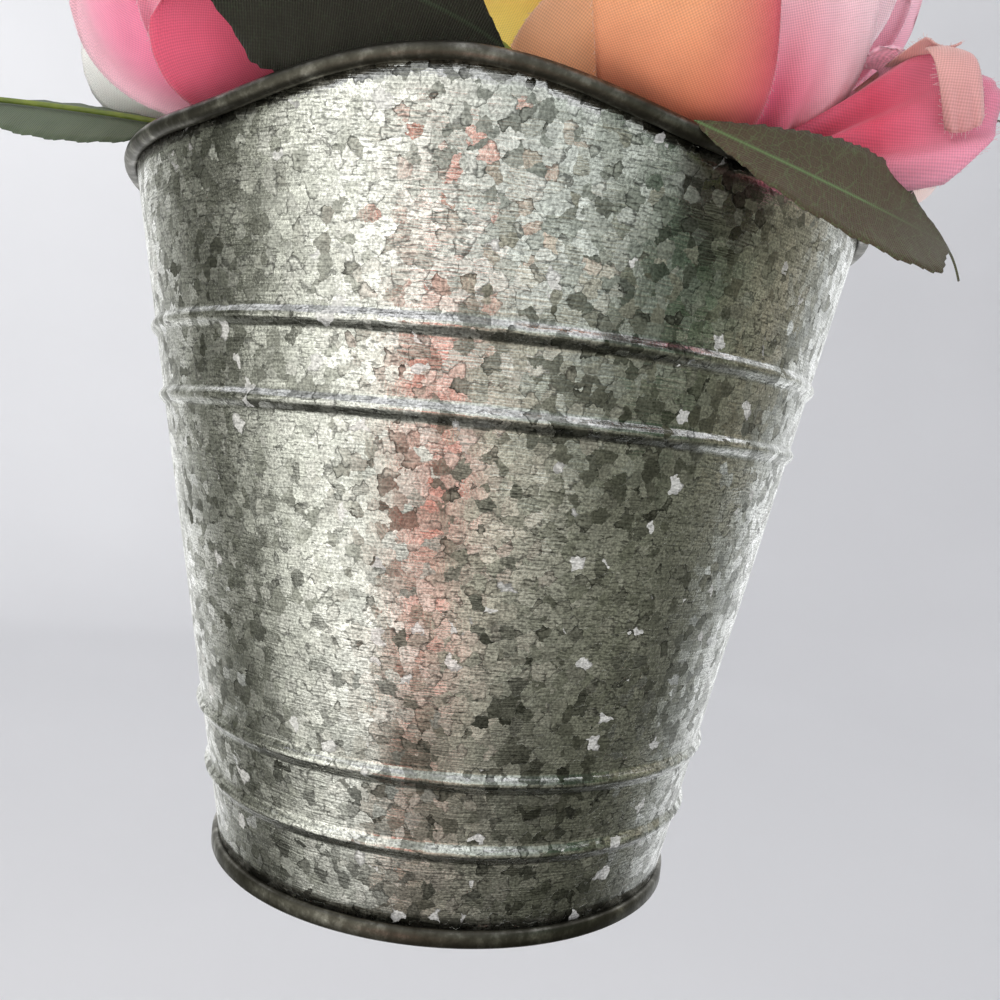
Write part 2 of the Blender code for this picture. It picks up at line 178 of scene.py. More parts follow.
def make_piece(name, points, faces, material, uv=None, colours=None, edges=()):
    """An object whose place is in its mesh. Points are about the tin's axis."""
    mesh = bpy.data.meshes.new(name)
    mesh.from_pydata((np.asarray(points) + TO_FRAME).tolist(), list(edges), faces)
    corners = np.zeros(len(mesh.loops), np.int32)
    mesh.loops.foreach_get("vertex_index", corners)
    if uv is not None:
        layer = mesh.uv_layers.new(name="UVMap")
        layer.data.foreach_set("uv", np.asarray(uv, np.float32)[corners].ravel())
    if colours is not None:
        layer = mesh.color_attributes.new("dye", "FLOAT_COLOR", "POINT")
        layer.data.foreach_set("color", np.asarray(colours, np.float32).ravel())
    mesh.shade_smooth()
    mesh.materials.append(material)
    piece = bpy.data.objects.new(name, mesh)
    bpy.context.scene.collection.objects.link(piece)
    return piece


def thicken(piece, name, thickness, side=0.0):
    """Gives an open sheet its thickness: inwards with side -1, to both sides with side 0."""
    wall = piece.modifiers.new(name, "SOLIDIFY")
    wall.thickness, wall.offset = thickness, side


def flat_area(uv, rows, columns):
    """Area of a grid's UV map, which is the cloth before it is bent."""
    net = uv.reshape(rows, columns, 2)
    one, two = net[1:, 1:] - net[:-1, :-1], net[1:, :-1] - net[:-1, 1:]
    return 0.5 * np.abs(one[..., 0] * two[..., 1] - one[..., 1] * two[..., 0]).sum()


def stands_for(piece, node):
    """The piece rides with the tin and hides its solid node."""
    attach(piece, "root")
    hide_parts(node)
    return piece


# %% [markdown]
# The studio is plain. A pale floor far below curves up into a round cove, so no corner or
# horizon shows from any side. Soft light comes from everywhere, a little more from the upper
# left. Polished or galvanised metal shows its surroundings rather than its own colour, so a
# studio wraps it in a tent of card: bright strips and dark strips that the metal mirrors.
# Here the tent is one thin drum that only mirror rays can see. Its brightness runs round the
# tin as a colour ramp, with a warm red card at the front.

# %% Floor and cove
FLOOR_DROP = 0.42                            # floor below the frame's origin
COVE_RADIUS = 2.6
COVE_BEND = 0.9
COVE_HEIGHT = 3.2
FLOOR_RINGS = (0.0, 0.5, 1.0)                # radii of the rings of the flat floor
BEND_STEPS = 12                              # steps of the bend from floor to wall
ROUND_STEPS = 96                             # steps round the cove and round the tent

cove_card, tree, shader, coords = new_material("painted_cove")
mottle = put(tree, "ShaderNodeTexNoise", {"Vector": coords.outputs["Object"], "Scale": 1.5})
paint = put(tree, "ShaderNodeValToRGB", [mottle.outputs["Fac"]],
            stops=[(0.3, linear("#e2e2e3")), (0.7, linear("#e7e7e8"))])
tree.links.new(paint.outputs[0], shader.inputs["Base Color"])
shader.inputs["Roughness"].default_value = 0.9
shader.inputs["Specular IOR Level"].default_value = 0.1

profile = [(radius, 0.0) for radius in (*FLOOR_RINGS, COVE_RADIUS - COVE_BEND)]
for i in range(1, BEND_STEPS + 1):
    turn = 0.5 * math.pi * i / BEND_STEPS
    profile.append((COVE_RADIUS - COVE_BEND * (1 - math.sin(turn)),
                    COVE_BEND * (1 - math.cos(turn))))
profile.append((COVE_RADIUS, COVE_HEIGHT))
around = np.linspace(0, 2 * math.pi, ROUND_STEPS, endpoint=False)
points = [(r * math.sin(a), r * math.cos(a), HOLE_HEIGHT - FLOOR_DROP + z)
          for r, z in profile[1:] for a in around]
points.append((0.0, 0.0, HOLE_HEIGHT - FLOOR_DROP))
middle_disc = [(len(points) - 1, (j + 1) % ROUND_STEPS, j) for j in range(ROUND_STEPS)]
faces = grid_faces(len(profile) - 1, ROUND_STEPS, ring=True) + middle_disc
cove = make_piece("cove", points, faces, cove_card)
cove.visible_shadow = False                  # the sky's light passes the cove's wall
cove.visible_glossy = False                  # the metal sees the tent instead
print("floor", FLOOR_DROP, "m below the hanging hole")

# %% Tent of card, seen only in the metal
TENT_RADIUS = 0.60
TENT_TOP = 0.30
TENT_FOOT = -1.05
TENT_GLOW = 1.85                             # brightness of its white card
HIGH_CARDS_FROM, HIGH_CARDS_FULL = -0.19, -0.10          # heights where the upper cards take over
RED_COMPASS = math.radians(9)                # the warm card hangs a little left of the front
# half its width, to its soft edge and past it
RED_FULL, RED_ENDS = math.radians(3), math.radians(9)
RED_TOP_FULL, RED_TOP = -0.17, -0.12
RED_FOOT, RED_FOOT_FULL = -0.62, -0.30
RED_SHARE = 0.75                             # how much of the card under it the warm card hides
GREY_BY_HEIGHT = ((0.0, 0.16), (0.10, 0.24), (0.35, 0.36), (0.47, 0.52), (0.62, 0.82), (0.80, 1.0))

tent_card, tree, shader, coords = new_material("tent_card")
tree.nodes.remove(shader)
split = put(tree, "ShaderNodeSeparateXYZ", [coords.outputs["Object"]])
away = put(tree, "ShaderNodeMath", [split.outputs["Y"], WALL_DISTANCE], operation="ADD")
away = put(tree, "ShaderNodeMath", [away, -1.0], operation="MULTIPLY")
compass = put(tree, "ShaderNodeMath", [split.outputs["X"], away], operation="ARCTAN2")
share = put(tree, "ShaderNodeMapRange", [compass, -math.pi, math.pi, 0.0, 1.0])
TENT_LOW = (                                 # compass in degrees from the front, card colour
    (-180, "#f4f5f6"), (-150, "#eeeff0"), (-128, "#d4d5d3"), (-110, "#8e8f88"), (-98, "#54554c"),
    (-86, "#4a4b42"), (-77, "#62635a"), (-66, "#c9cac0"), (-52, "#f4f4ea"), (-34, "#eff0e8"),
    (-22, "#e6e4da"), (-14, "#c2b6a9"), (0, "#b6aea1"), (14, "#aba89a"), (30, "#85857a"),
    (58, "#66675a"), (88, "#4f5046"), (106, "#5a5a50"), (120, "#8d908d"), (136, "#cfd1d2"),
    (180, "#f4f5f6"))
TENT_HIGH = (
    (-180, "#f4f5f6"), (-150, "#eeeff0"), (-128, "#d4d5d3"), (-110, "#8e8f88"), (-98, "#54554c"),
    (-80, "#3c3d35"), (-66, "#65665c"), (-56, "#a3a499"), (-46, "#efefe6"), (-34, "#f1f2ea"),
    (-20, "#dcdbd3"), (-10, "#c9c9c2"), (6, "#c8ccc8"), (28, "#b2b8b3"), (42, "#7f837c"),
    (54, "#3c4a3e"), (72, "#33402f"), (88, "#6b6a5c"), (106, "#736d5e"), (120, "#949793"),
    (136, "#cfd1d2"), (180, "#f4f5f6"))
low_ring, high_ring = (put(tree, "ShaderNodeValToRGB", [share],
                           stops=[((angle + 180) / 360, linear(card)) for angle, card in cards])
                       for cards in (TENT_LOW, TENT_HIGH))
high = put(tree, "ShaderNodeMapRange",
           [split.outputs["Z"], HIGH_CARDS_FROM, HIGH_CARDS_FULL, 0.0, 1.0])
strips = put(tree, "ShaderNodeMix", {0: high, 6: low_ring, 7: high_ring}, data_type="RGBA")
red_side = put(tree, "ShaderNodeMath", [compass, RED_COMPASS], operation="ADD")
red_side = put(tree, "ShaderNodeMath", [red_side], operation="ABSOLUTE")
red_wide = put(tree, "ShaderNodeMapRange", [red_side, RED_FULL, RED_ENDS, 1.0, 0.0])
red_top = put(tree, "ShaderNodeMapRange", [split.outputs["Z"], RED_TOP_FULL, RED_TOP, 1.0, 0.0])
red_low = put(tree, "ShaderNodeMapRange",
              [split.outputs["Z"], RED_FOOT, RED_FOOT_FULL, 0.0, RED_SHARE])
red = put(tree, "ShaderNodeMath", [red_wide, red_top], operation="MULTIPLY")
red = put(tree, "ShaderNodeMath", [red, red_low], operation="MULTIPLY")
strips = put(tree, "ShaderNodeMix", {0: red, 6: strips.outputs[2], 7: linear("#d8432f")},
             data_type="RGBA")
down = put(tree, "ShaderNodeMapRange", [split.outputs["Z"], TENT_FOOT, 0.0, 0.0, 1.0])
low = put(tree, "ShaderNodeValToRGB", [down],
          stops=[(at, (grey, grey, grey, 1.0)) for at, grey in GREY_BY_HEIGHT])
dimmed = put(tree, "ShaderNodeMix", {0: 1.0, 6: strips.outputs[2], 7: low}, data_type="RGBA",
             blend_type="MULTIPLY")
glow = put(tree, "ShaderNodeEmission", {"Color": dimmed.outputs[2], "Strength": TENT_GLOW})
tree.links.new(glow.outputs[0], tree.nodes["Material Output"].inputs["Surface"])

rows = [TENT_FOOT, 0.5 * (TENT_FOOT + TENT_TOP), TENT_TOP]
points = [(TENT_RADIUS * math.sin(a), TENT_RADIUS * math.cos(a), HOLE_HEIGHT + z)
          for z in rows for a in around]
points.append((0.0, 0.0, HOLE_HEIGHT + TENT_FOOT))
middle_disc = [(len(points) - 1, (j + 1) % ROUND_STEPS, j) for j in range(ROUND_STEPS)]
faces = grid_faces(len(rows), ROUND_STEPS, ring=True) + middle_disc
tent = make_piece("tent", points, faces, tent_card)
tent.visible_camera = tent.visible_diffuse = tent.visible_shadow = tent.visible_transmission = False

# %% Lights
def soft_light(name, place, size, power, colour, towards=(0.0, -0.05, 0.0)):
    """A square of light that stays out of the mirror picture."""
    data = bpy.data.lights.new(name, "AREA")
    data.shape, data.size, data.energy = "SQUARE", size, power
    data.color = linear(colour)[:3]
    light = bpy.data.objects.new(name, data)
    turned = (Vector(towards) - Vector(place)).to_track_quat("-Z", "Y")
    light.matrix_world = Matrix.Translation(place) @ turned.to_matrix().to_4x4()
    light.visible_glossy = light.visible_camera = False
    bpy.context.scene.collection.objects.link(light)
    return light


# The low lights would burn a bright patch into the floor, so they pass the cove by.
not_the_cove = bpy.data.collections.new("not_the_cove")
not_the_cove.objects.link(cove)
not_the_cove.collection_objects[0].light_linking.link_state = "EXCLUDE"
world = bpy.data.worlds.new("sky")
world.use_nodes = True
world.node_tree.nodes["Background"].inputs["Color"].default_value = linear("#f8f9fd")
world.node_tree.nodes["Background"].inputs["Strength"].default_value = 1.05
bpy.context.scene.world = world
soft_light("window", (-0.55, -0.60, 0.65), 0.5, 3.2, "#fffaf4")
for light in (soft_light("fill", (0.50, -0.55, -0.12), 0.6, 2.2, "#fbfaff", (0.06, -0.06, 0.02)),
              soft_light("bounce", (-0.28, -0.45, -0.34), 0.7, 2.4, "#fffaf6",
                         (-0.02, -0.06, 0.03))):
    light.light_linking.receiver_collection = not_the_cove
soft_light("cove_glow", (-0.70, 0.60, 0.75), 0.5, 14.0, "#ffffff", (-1.7, 2.3, 1.9))
print("tent radius", TENT_RADIUS, "m,", len(TENT_LOW) + len(TENT_HIGH),
      "stops of card round the tin")

# %% [markdown]
# ## Galvanised sheet
# Hot-dip galvanised steel carries a thin coat of zinc, which freezes into flat crystals a
# few millimetres wide. Each crystal, or spangle, lies at its own slight tilt and has its own
# tone, so next to a bright one lies a dark one although both are the same metal. Rolling
# leaves fine marks that run round the tin. A Voronoi pattern gives the crystals: its random
# colour picks the tone, and the same random numbers tilt the cell by a height that rises
# across it. That height also paints shade into the colour: each crystal is painted darker on
# its low side and lighter on its high side, and some get a dark crescent of painted shade
# along the step at their far side. A few paler crystals are frosted zinc and painted glints.
# The marks run along the UV map, and they make the metal mirror things as upright streaks,
# which is what the anisotropic setting stands for.

# %% Material: hot-dip galvanised steel, spangled and lightly rolled
SPANGLE = 2.4 * MM                  # usual width of a crystal
CALM_TILT = 0.12                    # slope of an ordinary crystal against the sheet
STEEP_TILT = 0.36                   # slope of the few that stand out
MARK_LENGTH = 9.0 * MM              # long pale rolling marks
MARK_SPACING = 0.35 * MM
DASH_LENGTH = 1.5 * MM              # short dark scratches in the zinc
DASH_SPACING = 0.40 * MM
GRAIN = 0.45 * MM                   # the finest dull and bright specks


def galvanised(name, along="UV"):
    """Zinc whose rolling marks run along X of the UV map, or of the object on a flat plate."""
    material, tree, shader, coords = new_material(name)
    where = coords.outputs["Object"]
    # Noise shakes the places a little, so that the crystals get ragged borders.
    shake = put(tree, "ShaderNodeTexNoise",
                {"Vector": where, "Scale": 1 / (1.6 * MM), "Detail": 2.0})
    centred = put(tree, "ShaderNodeVectorMath", [shake.outputs["Color"], (0.5, 0.5, 0.5)],
                  operation="SUBTRACT")
    moved = put(tree, "ShaderNodeVectorMath", {0: centred, "Scale": 2.2 * MM}, operation="SCALE")
    ragged = put(tree, "ShaderNodeVectorMath", [where, moved], operation="ADD")
    crystal = put(tree, "ShaderNodeTexVoronoi", {"Vector": ragged, "Scale": 1 / SPANGLE})
    tone = put(tree, "ShaderNodeSeparateColor", [crystal.outputs["Color"]])

    # The facet: a height that rises across the crystal in a direction of its own.
    across = put(tree, "ShaderNodeVectorMath", [where, crystal.outputs["Position"]],
                 operation="SUBTRACT")
    lean = put(tree, "ShaderNodeVectorMath", [crystal.outputs["Color"], (0.5, 0.5, 0.5)],
               operation="SUBTRACT")
    facet = put(tree, "ShaderNodeVectorMath", [across, lean], operation="DOT_PRODUCT")
    steep = put(tree, "ShaderNodeMapRange",
                [tone.outputs["Blue"], 0.86, 0.92, CALM_TILT, STEEP_TILT])
    # Painted shade: the colour is darker where a crystal's tilted height is low and lighter where
    # it is high.
    painted_tilt_shade = put(tree, "ShaderNodeMapRange",
                [facet.outputs["Value"], -0.35 * MM, 0.35 * MM, 0.92, 1.05])
    # The far side of some crystals, where the painted shade of their step goes.
    shaded_far_side = put(tree, "ShaderNodeMapRange",
                   [facet.outputs["Value"], 0.08 * MM, 0.28 * MM, 0.0, 1.0])
    some = put(tree, "ShaderNodeMapRange", [tone.outputs["Green"], 0.52, 0.60, 0.0, 1.0])
    shaded_far_side = put(tree, "ShaderNodeMath", [shaded_far_side, some], operation="MULTIPLY")
    facet = put(tree, "ShaderNodeMath", [facet.outputs["Value"], steep], operation="MULTIPLY")
    border = put(tree, "ShaderNodeTexVoronoi", {"Vector": ragged, "Scale": 1 / SPANGLE},
                 feature="DISTANCE_TO_EDGE")

    # Rolling marks and scratches, drawn out along X, and fine specks everywhere.
    if along == "UV":
        sheet = coords.outputs["UV"]
    else:
        apart = put(tree, "ShaderNodeSeparateXYZ", [where])
        sheet = put(tree, "ShaderNodeCombineXYZ", [apart.outputs["X"], apart.outputs["Z"], 0.0])
    wander = put(tree, "ShaderNodeTexNoise",
                 {"Vector": sheet, "Scale": 1 / (5 * MM), "Detail": 1.0})
    bent = put(tree, "ShaderNodeVectorMath", {0: wander.outputs["Color"], "Scale": 0.8 * MM},
               operation="SCALE")
    bent = put(tree, "ShaderNodeVectorMath", [sheet, bent], operation="ADD")
    drawn = put(tree, "ShaderNodeMapping",
                {"Vector": bent, "Scale": (1 / MARK_LENGTH, 1 / MARK_SPACING, 1.0)})
    marks = put(tree, "ShaderNodeTexNoise", {"Vector": drawn, "Scale": 1.0, "Detail": 1.0})
    short = put(tree, "ShaderNodeMapping",
                {"Vector": bent, "Scale": (1 / DASH_LENGTH, 1 / DASH_SPACING, 1.0)})
    dashes = put(tree, "ShaderNodeTexNoise", {"Vector": short, "Scale": 1.0, "Detail": 1.0})
    speck = put(tree, "ShaderNodeTexNoise",
                {"Vector": where, "Scale": 1 / GRAIN, "Detail": 2.0, "Roughness": 0.6})
    height = put(tree, "ShaderNodeMath", [marks.outputs["Fac"], 0.05 * MM, facet],
                 operation="MULTIPLY_ADD")
    height = put(tree, "ShaderNodeMath", [speck.outputs["Fac"], 0.035 * MM, height],
                 operation="MULTIPLY_ADD")
    relief = put(tree, "ShaderNodeBump", {"Height": height, "Distance": 1.0, "Strength": 0.9})
    tree.links.new(relief.outputs[0], shader.inputs["Normal"])

    cloud = put(tree, "ShaderNodeTexNoise",
                {"Vector": where, "Scale": 1 / (22 * MM), "Detail": 2.0})
    # Dark crystals flock together, so a slow cloud lowers or raises the tone that is picked.
    gather = put(tree, "ShaderNodeMapRange", [cloud.outputs["Fac"], 0.38, 0.62, -0.20, 0.16])
    pick = put(tree, "ShaderNodeMath", [tone.outputs["Red"], gather], operation="ADD")
    zinc = put(tree, "ShaderNodeValToRGB", [pick], stops=[
        (0.00, linear("#9fa09a")), (0.12, linear("#b6b7b1")), (0.22, linear("#d6d7d2")),
        (0.60, linear("#e0e1dd")), (0.90, linear("#ebebe8")), (1.00, linear("#f8f8f5"))])
    cloudy = put(tree, "ShaderNodeMapRange", [cloud.outputs["Fac"], 0.35, 0.68, 0.82, 1.04])
    mark = put(tree, "ShaderNodeMapRange", [marks.outputs["Fac"], 0.30, 0.70, 0.74, 1.16])
    patchy = put(tree, "ShaderNodeMapRange", [cloud.outputs["Fac"], 0.40, 0.60, 0.32, 0.45])
    faint = put(tree, "ShaderNodeMath", [patchy, 0.05], operation="SUBTRACT")
    dash = put(tree, "ShaderNodeMapRange", [dashes.outputs["Fac"], faint, patchy, 0.50, 1.0])
    shade = put(tree, "ShaderNodeMath", [cloudy, dash], operation="MULTIPLY")
    shade = put(tree, "ShaderNodeMath", [shade, mark], operation="MULTIPLY")
    seam = put(tree, "ShaderNodeMapRange", [border.outputs["Distance"], 0.02, 0.16, 1.0, 0.0])
    # Painted shade: along its far side a crystal ends in a step, and the shade of that step is
    # painted in as a dark crescent.
    painted_step_shade = put(tree, "ShaderNodeMath", [seam, shaded_far_side], operation="MULTIPLY")
    painted_step_shade = put(tree, "ShaderNodeMapRange", [painted_step_shade, 0.0, 0.8, 1.0, 0.36])
    grain = put(tree, "ShaderNodeMapRange", [speck.outputs["Fac"], 0.33, 0.67, 0.56, 1.30])
    shade = put(tree, "ShaderNodeMath", [shade, grain], operation="MULTIPLY")
    shade = put(tree, "ShaderNodeMath", [shade, painted_step_shade], operation="MULTIPLY")
    shade = put(tree, "ShaderNodeMath", [shade, painted_tilt_shade], operation="MULTIPLY")
    grey = put(tree, "ShaderNodeCombineXYZ", [shade, shade, shade])
    coat = put(tree, "ShaderNodeMix", {0: 1.0, 6: zinc, 7: grey}, data_type="RGBA",
               blend_type="MULTIPLY")
    # A few crystals are paler and less like a mirror: frosted zinc, and painted glints that stand
    # in for crystals catching bright light.
    scarce = put(tree, "ShaderNodeMapRange", [cloud.outputs["Fac"], 0.38, 0.62, 0.999, 0.965])
    frosted_and_glint_cells = put(tree, "ShaderNodeMath", [tone.outputs["Green"], scarce], operation="GREATER_THAN")
    glint_chip_colour = put(tree, "ShaderNodeMix", {0: 0.8, 6: linear("#dededa"), 7: grey}, data_type="RGBA",
               blend_type="MULTIPLY")
    frost_and_glints = put(tree, "ShaderNodeMix", {0: frosted_and_glint_cells, 6: coat.outputs[2], 7: glint_chip_colour.outputs[2]},
                data_type="RGBA")
    tree.links.new(frost_and_glints.outputs[2], shader.inputs["Base Color"])
    metal = put(tree, "ShaderNodeMapRange", [frosted_and_glint_cells, 0.0, 1.0, 1.0, 0.45])
    tree.links.new(metal.outputs[0], shader.inputs["Metallic"])

    dull = put(tree, "ShaderNodeMapRange", [tone.outputs["Green"], 0.0, 1.0, 0.18, 0.32])
    tree.links.new(dull.outputs[0], shader.inputs["Roughness"])
    if along == "UV":
        shader.inputs["Anisotropic"].default_value = 0.6
        rolled = put(tree, "ShaderNodeTangent", direction_type="UV_MAP", uv_map="UVMap")
        tree.links.new(rolled.outputs[0], shader.inputs["Tangent"])
    return material


wall_zinc = galvanised("galvanised_steel_wall")
plate_zinc = galvanised("galvanised_steel_plate", along="object")
print("spangles", SPANGLE / MM, "mm, marks every", MARK_SPACING / MM, "mm")

# %% [markdown]
# The rim and the foot ring are the same sheet, rolled and folded. Bending cracks the bright
# zinc, and hands and tools rub it, so these edges are a dull dark grey with paler scuffs.

# %% Material: rolled zinc edge, dull and scuffed
edge_zinc, tree, shader, coords = new_material("dull_zinc_edge")
scuff = put(tree, "ShaderNodeTexNoise", {"Vector": coords.outputs["Object"], "Scale": 1 / (4 * MM),
                                         "Detail": 5.0, "Roughness": 0.65})
worn = put(tree, "ShaderNodeValToRGB", [scuff.outputs["Fac"]], stops=[
    (0.30, linear("#413f38")), (0.50, linear("#55534c")),
    (0.62, linear("#75736c")), (0.74, linear("#a5a49c"))])
tree.links.new(worn.outputs[0], shader.inputs["Base Color"])
rubbed = put(tree, "ShaderNodeMapRange", [scuff.outputs["Fac"], 0.3, 0.7, 0.50, 0.34])
tree.links.new(rubbed.outputs[0], shader.inputs["Roughness"])
shader.inputs["Metallic"].default_value = 1.0
pits = put(tree, "ShaderNodeTexNoise",
           {"Vector": coords.outputs["Object"], "Scale": 1 / (1.1 * MM), "Detail": 3.0})
relief = put(tree, "ShaderNodeBump",
             {"Height": pits.outputs["Fac"], "Distance": 0.06 * MM, "Strength": 1.0})
tree.links.new(relief.outputs[0], shader.inputs["Normal"])

# %% [markdown]
# ## The ribbed wall
# The wall is one sheet. Its upright section is a leaning line with four pressed ribs, and
# that section is carried round the cone from one back corner to the other. That is a rule,
# so Geometry Nodes follow it: a grid has one row for each point of the section, every row
# looks up its radius and height there, and the columns spread round the cone until they meet
# the flat back. Near the top the rows rise into the crown of the rim. Solidify then gives
# the sheet its thickness.

# %% Running a node tree
def run_tree(piece, tree, **values):
    """Shapes the piece with a Geometry Nodes tree, then leaves only the plain mesh."""
    shaper = piece.modifiers.new("shape", "NODES")
    shaper.node_group = tree
    for item in tree.interface.items_tree:
        if item.item_type == "SOCKET" and item.in_out == "INPUT" and item.name in values:
            shaper[item.identifier] = values[item.name]
    depsgraph = bpy.context.evaluated_depsgraph_get()
    made = bpy.data.meshes.new_from_object(piece.evaluated_get(depsgraph), depsgraph=depsgraph)
    piece.modifiers.clear()
    piece.data = made
    return piece


def new_tree(name, sockets):
    """An empty Geometry Nodes tree with named inputs, and its input and output nodes."""
    tree = bpy.data.node_groups.new(name, "GeometryNodeTree")
    tree.interface.new_socket("Geometry", in_out="OUTPUT", socket_type="NodeSocketGeometry")
    tree.interface.new_socket("Geometry", in_out="INPUT", socket_type="NodeSocketGeometry")
    for label, kind in sockets:
        tree.interface.new_socket(label, in_out="INPUT", socket_type="NodeSocket" + kind)
    return tree, tree.nodes.new("NodeGroupInput").outputs, tree.nodes.new("NodeGroupOutput")


# %% Tree: a section carried round the cone
wall_tree, given, out = new_tree("section_round_cone", [
    ("Columns", "Int"), ("BackDistance", "Float"), ("Taper", "Float"), ("Crown", "Float"),
    ("CrownHalfAngle", "Float"), ("CrownFrom", "Float"), ("CrownTo", "Float"),
    ("Dents", "Float"), ("Material", "Material")])
count = put(wall_tree, "GeometryNodeAttributeDomainSize", [given["Geometry"]])
grid = put(wall_tree, "GeometryNodeMeshGrid",
           {"Size X": 2.0, "Size Y": 1.0, "Vertices X": given["Columns"],
            "Vertices Y": count.outputs["Point Count"]})
position = put(wall_tree, "GeometryNodeInputPosition")
spot = put(wall_tree, "ShaderNodeSeparateXYZ", [position])
last = put(wall_tree, "ShaderNodeMath", [count.outputs["Point Count"], 1.0], operation="SUBTRACT")
up = put(wall_tree, "ShaderNodeMath", [spot.outputs["Y"], 0.5], operation="ADD")
row = put(wall_tree, "ShaderNodeMath", [up, last], operation="MULTIPLY")
row = put(wall_tree, "ShaderNodeMath", [row], operation="ROUND")
section = put(wall_tree, "GeometryNodeSampleIndex",
              {"Geometry": given["Geometry"], "Value": position, "Index": row},
              data_type="FLOAT_VECTOR", domain="POINT")
level = put(wall_tree, "ShaderNodeSeparateXYZ", [section.outputs[0]])
reach = put(wall_tree, "ShaderNodeMath", [given["BackDistance"], level.outputs["X"]],
            operation="DIVIDE")
limit = put(wall_tree, "ShaderNodeMath", [reach, -1.0], operation="MULTIPLY")
limit = put(wall_tree, "ShaderNodeMath", [limit], operation="ARCCOSINE")
angle = put(wall_tree, "ShaderNodeMath", [spot.outputs["X"], limit], operation="MULTIPLY")
off = put(wall_tree, "ShaderNodeMath", [angle], operation="ABSOLUTE")
off = put(wall_tree, "ShaderNodeMath", [off, given["CrownHalfAngle"]], operation="DIVIDE")
off = put(wall_tree, "ShaderNodeMath", [off, 1.0], operation="MINIMUM")
crown = put(wall_tree, "ShaderNodeMath", [off, 0.5 * math.pi], operation="MULTIPLY")
crown = put(wall_tree, "ShaderNodeMath", [crown], operation="COSINE")
crown = put(wall_tree, "ShaderNodeMath", [crown, 2.0], operation="POWER")
into = put(wall_tree, "ShaderNodeMapRange",
           [level.outputs["Z"], given["CrownFrom"], given["CrownTo"], 0.0, 1.0])
rise = put(wall_tree, "ShaderNodeMath", [crown, into.outputs[0]], operation="MULTIPLY")
rise = put(wall_tree, "ShaderNodeMath", [rise, given["Crown"]], operation="MULTIPLY")
radius = put(wall_tree, "ShaderNodeMath", [rise, given["Taper"], level.outputs["X"]],
             operation="MULTIPLY_ADD")
height = put(wall_tree, "ShaderNodeMath", [level.outputs["Z"], rise], operation="ADD")
sine = put(wall_tree, "ShaderNodeMath", [angle], operation="SINE")
sine = put(wall_tree, "ShaderNodeMath", [sine, radius], operation="MULTIPLY")
cosine = put(wall_tree, "ShaderNodeMath", [angle], operation="COSINE")
cosine = put(wall_tree, "ShaderNodeMath", [cosine, radius], operation="MULTIPLY")
cosine = put(wall_tree, "ShaderNodeMath", [cosine, -1.0], operation="MULTIPLY")
unrolled = put(wall_tree, "ShaderNodeMath", [angle, 0.5 * (FOOT_RADIUS + RIM_RADIUS)],
               operation="MULTIPLY")
flat = put(wall_tree, "ShaderNodeCombineXYZ", [unrolled, height, 0.0])
mapped = put(wall_tree, "GeometryNodeStoreNamedAttribute",          # while the grid is still flat
             {"Geometry": grid.outputs["Mesh"], "Name": "UVMap", "Value": flat},
             data_type="FLOAT2", domain="CORNER")
round_tin = put(wall_tree, "ShaderNodeCombineXYZ", [sine, cosine, height])
bent = put(wall_tree, "GeometryNodeSetPosition", {"Geometry": mapped, "Position": round_tin})
# Slight dents, about 35 mm apart, as a thin sheet gets from handling.
wave = put(wall_tree, "ShaderNodeTexNoise", {"Scale": 28.0, "Detail": 1.0})
wave = put(wall_tree, "ShaderNodeMath", [wave.outputs["Fac"], 0.5], operation="SUBTRACT")
wave = put(wall_tree, "ShaderNodeMath", [wave, given["Dents"]], operation="MULTIPLY")
facing = put(wall_tree, "GeometryNodeInputNormal")
push = put(wall_tree, "ShaderNodeVectorMath", {0: facing, "Scale": wave}, operation="SCALE")
dented = put(wall_tree, "GeometryNodeSetPosition", {"Geometry": bent, "Offset": push})
smooth = put(wall_tree, "GeometryNodeSetShadeSmooth", [dented])
real = put(wall_tree, "GeometryNodeRealizeInstances", [smooth])
painted = put(wall_tree, "GeometryNodeSetMaterial",
              {"Geometry": real, "Material": given["Material"]})
wall_tree.links.new(painted.outputs[0], out.inputs[0])
print("section_round_cone has", len(wall_tree.nodes), "nodes")

# %% Front wall
def rib_bulge(z):
    """How far the sheet stands out at this height: a smooth hill over each rib."""
    near = min(abs(z - rib) for rib in RIB_HEIGHTS)
    return RIB_PROUD * math.cos(0.5 * math.pi * min(near / RIB_HALF_WIDTH, 1.0)) ** 1.5


def wall_radius(z):
    return FOOT_RADIUS + TAPER * (z - CHIME_HEIGHT)


INTO_CHIME, INTO_BEAD = 0.0004, 0.0007      # the sheet's edges are hidden in both rolled edges
WALL_ROWS, ROWS_ON_RIB, WALL_COLUMNS = 46, 15, 200
BESIDE_RIB, CLEAR_OF_RIB = 0.0003, 0.0008
CROWN_REACH = 0.016                         # how far down the wall the crown of the rim reaches
DENTS = 0.5 * MM

levels = list(np.linspace(CHIME_HEIGHT - INTO_CHIME, RIM_LEVEL - INTO_BEAD, WALL_ROWS))
for rib in RIB_HEIGHTS:
    reach = RIB_HALF_WIDTH + BESIDE_RIB
    levels = [z for z in levels if abs(z - rib) > RIB_HALF_WIDTH + CLEAR_OF_RIB]
    levels += list(np.linspace(rib - reach, rib + reach, ROWS_ON_RIB))
levels.sort()
section_line = [(wall_radius(z) + rib_bulge(z), 0.0, z) for z in levels]
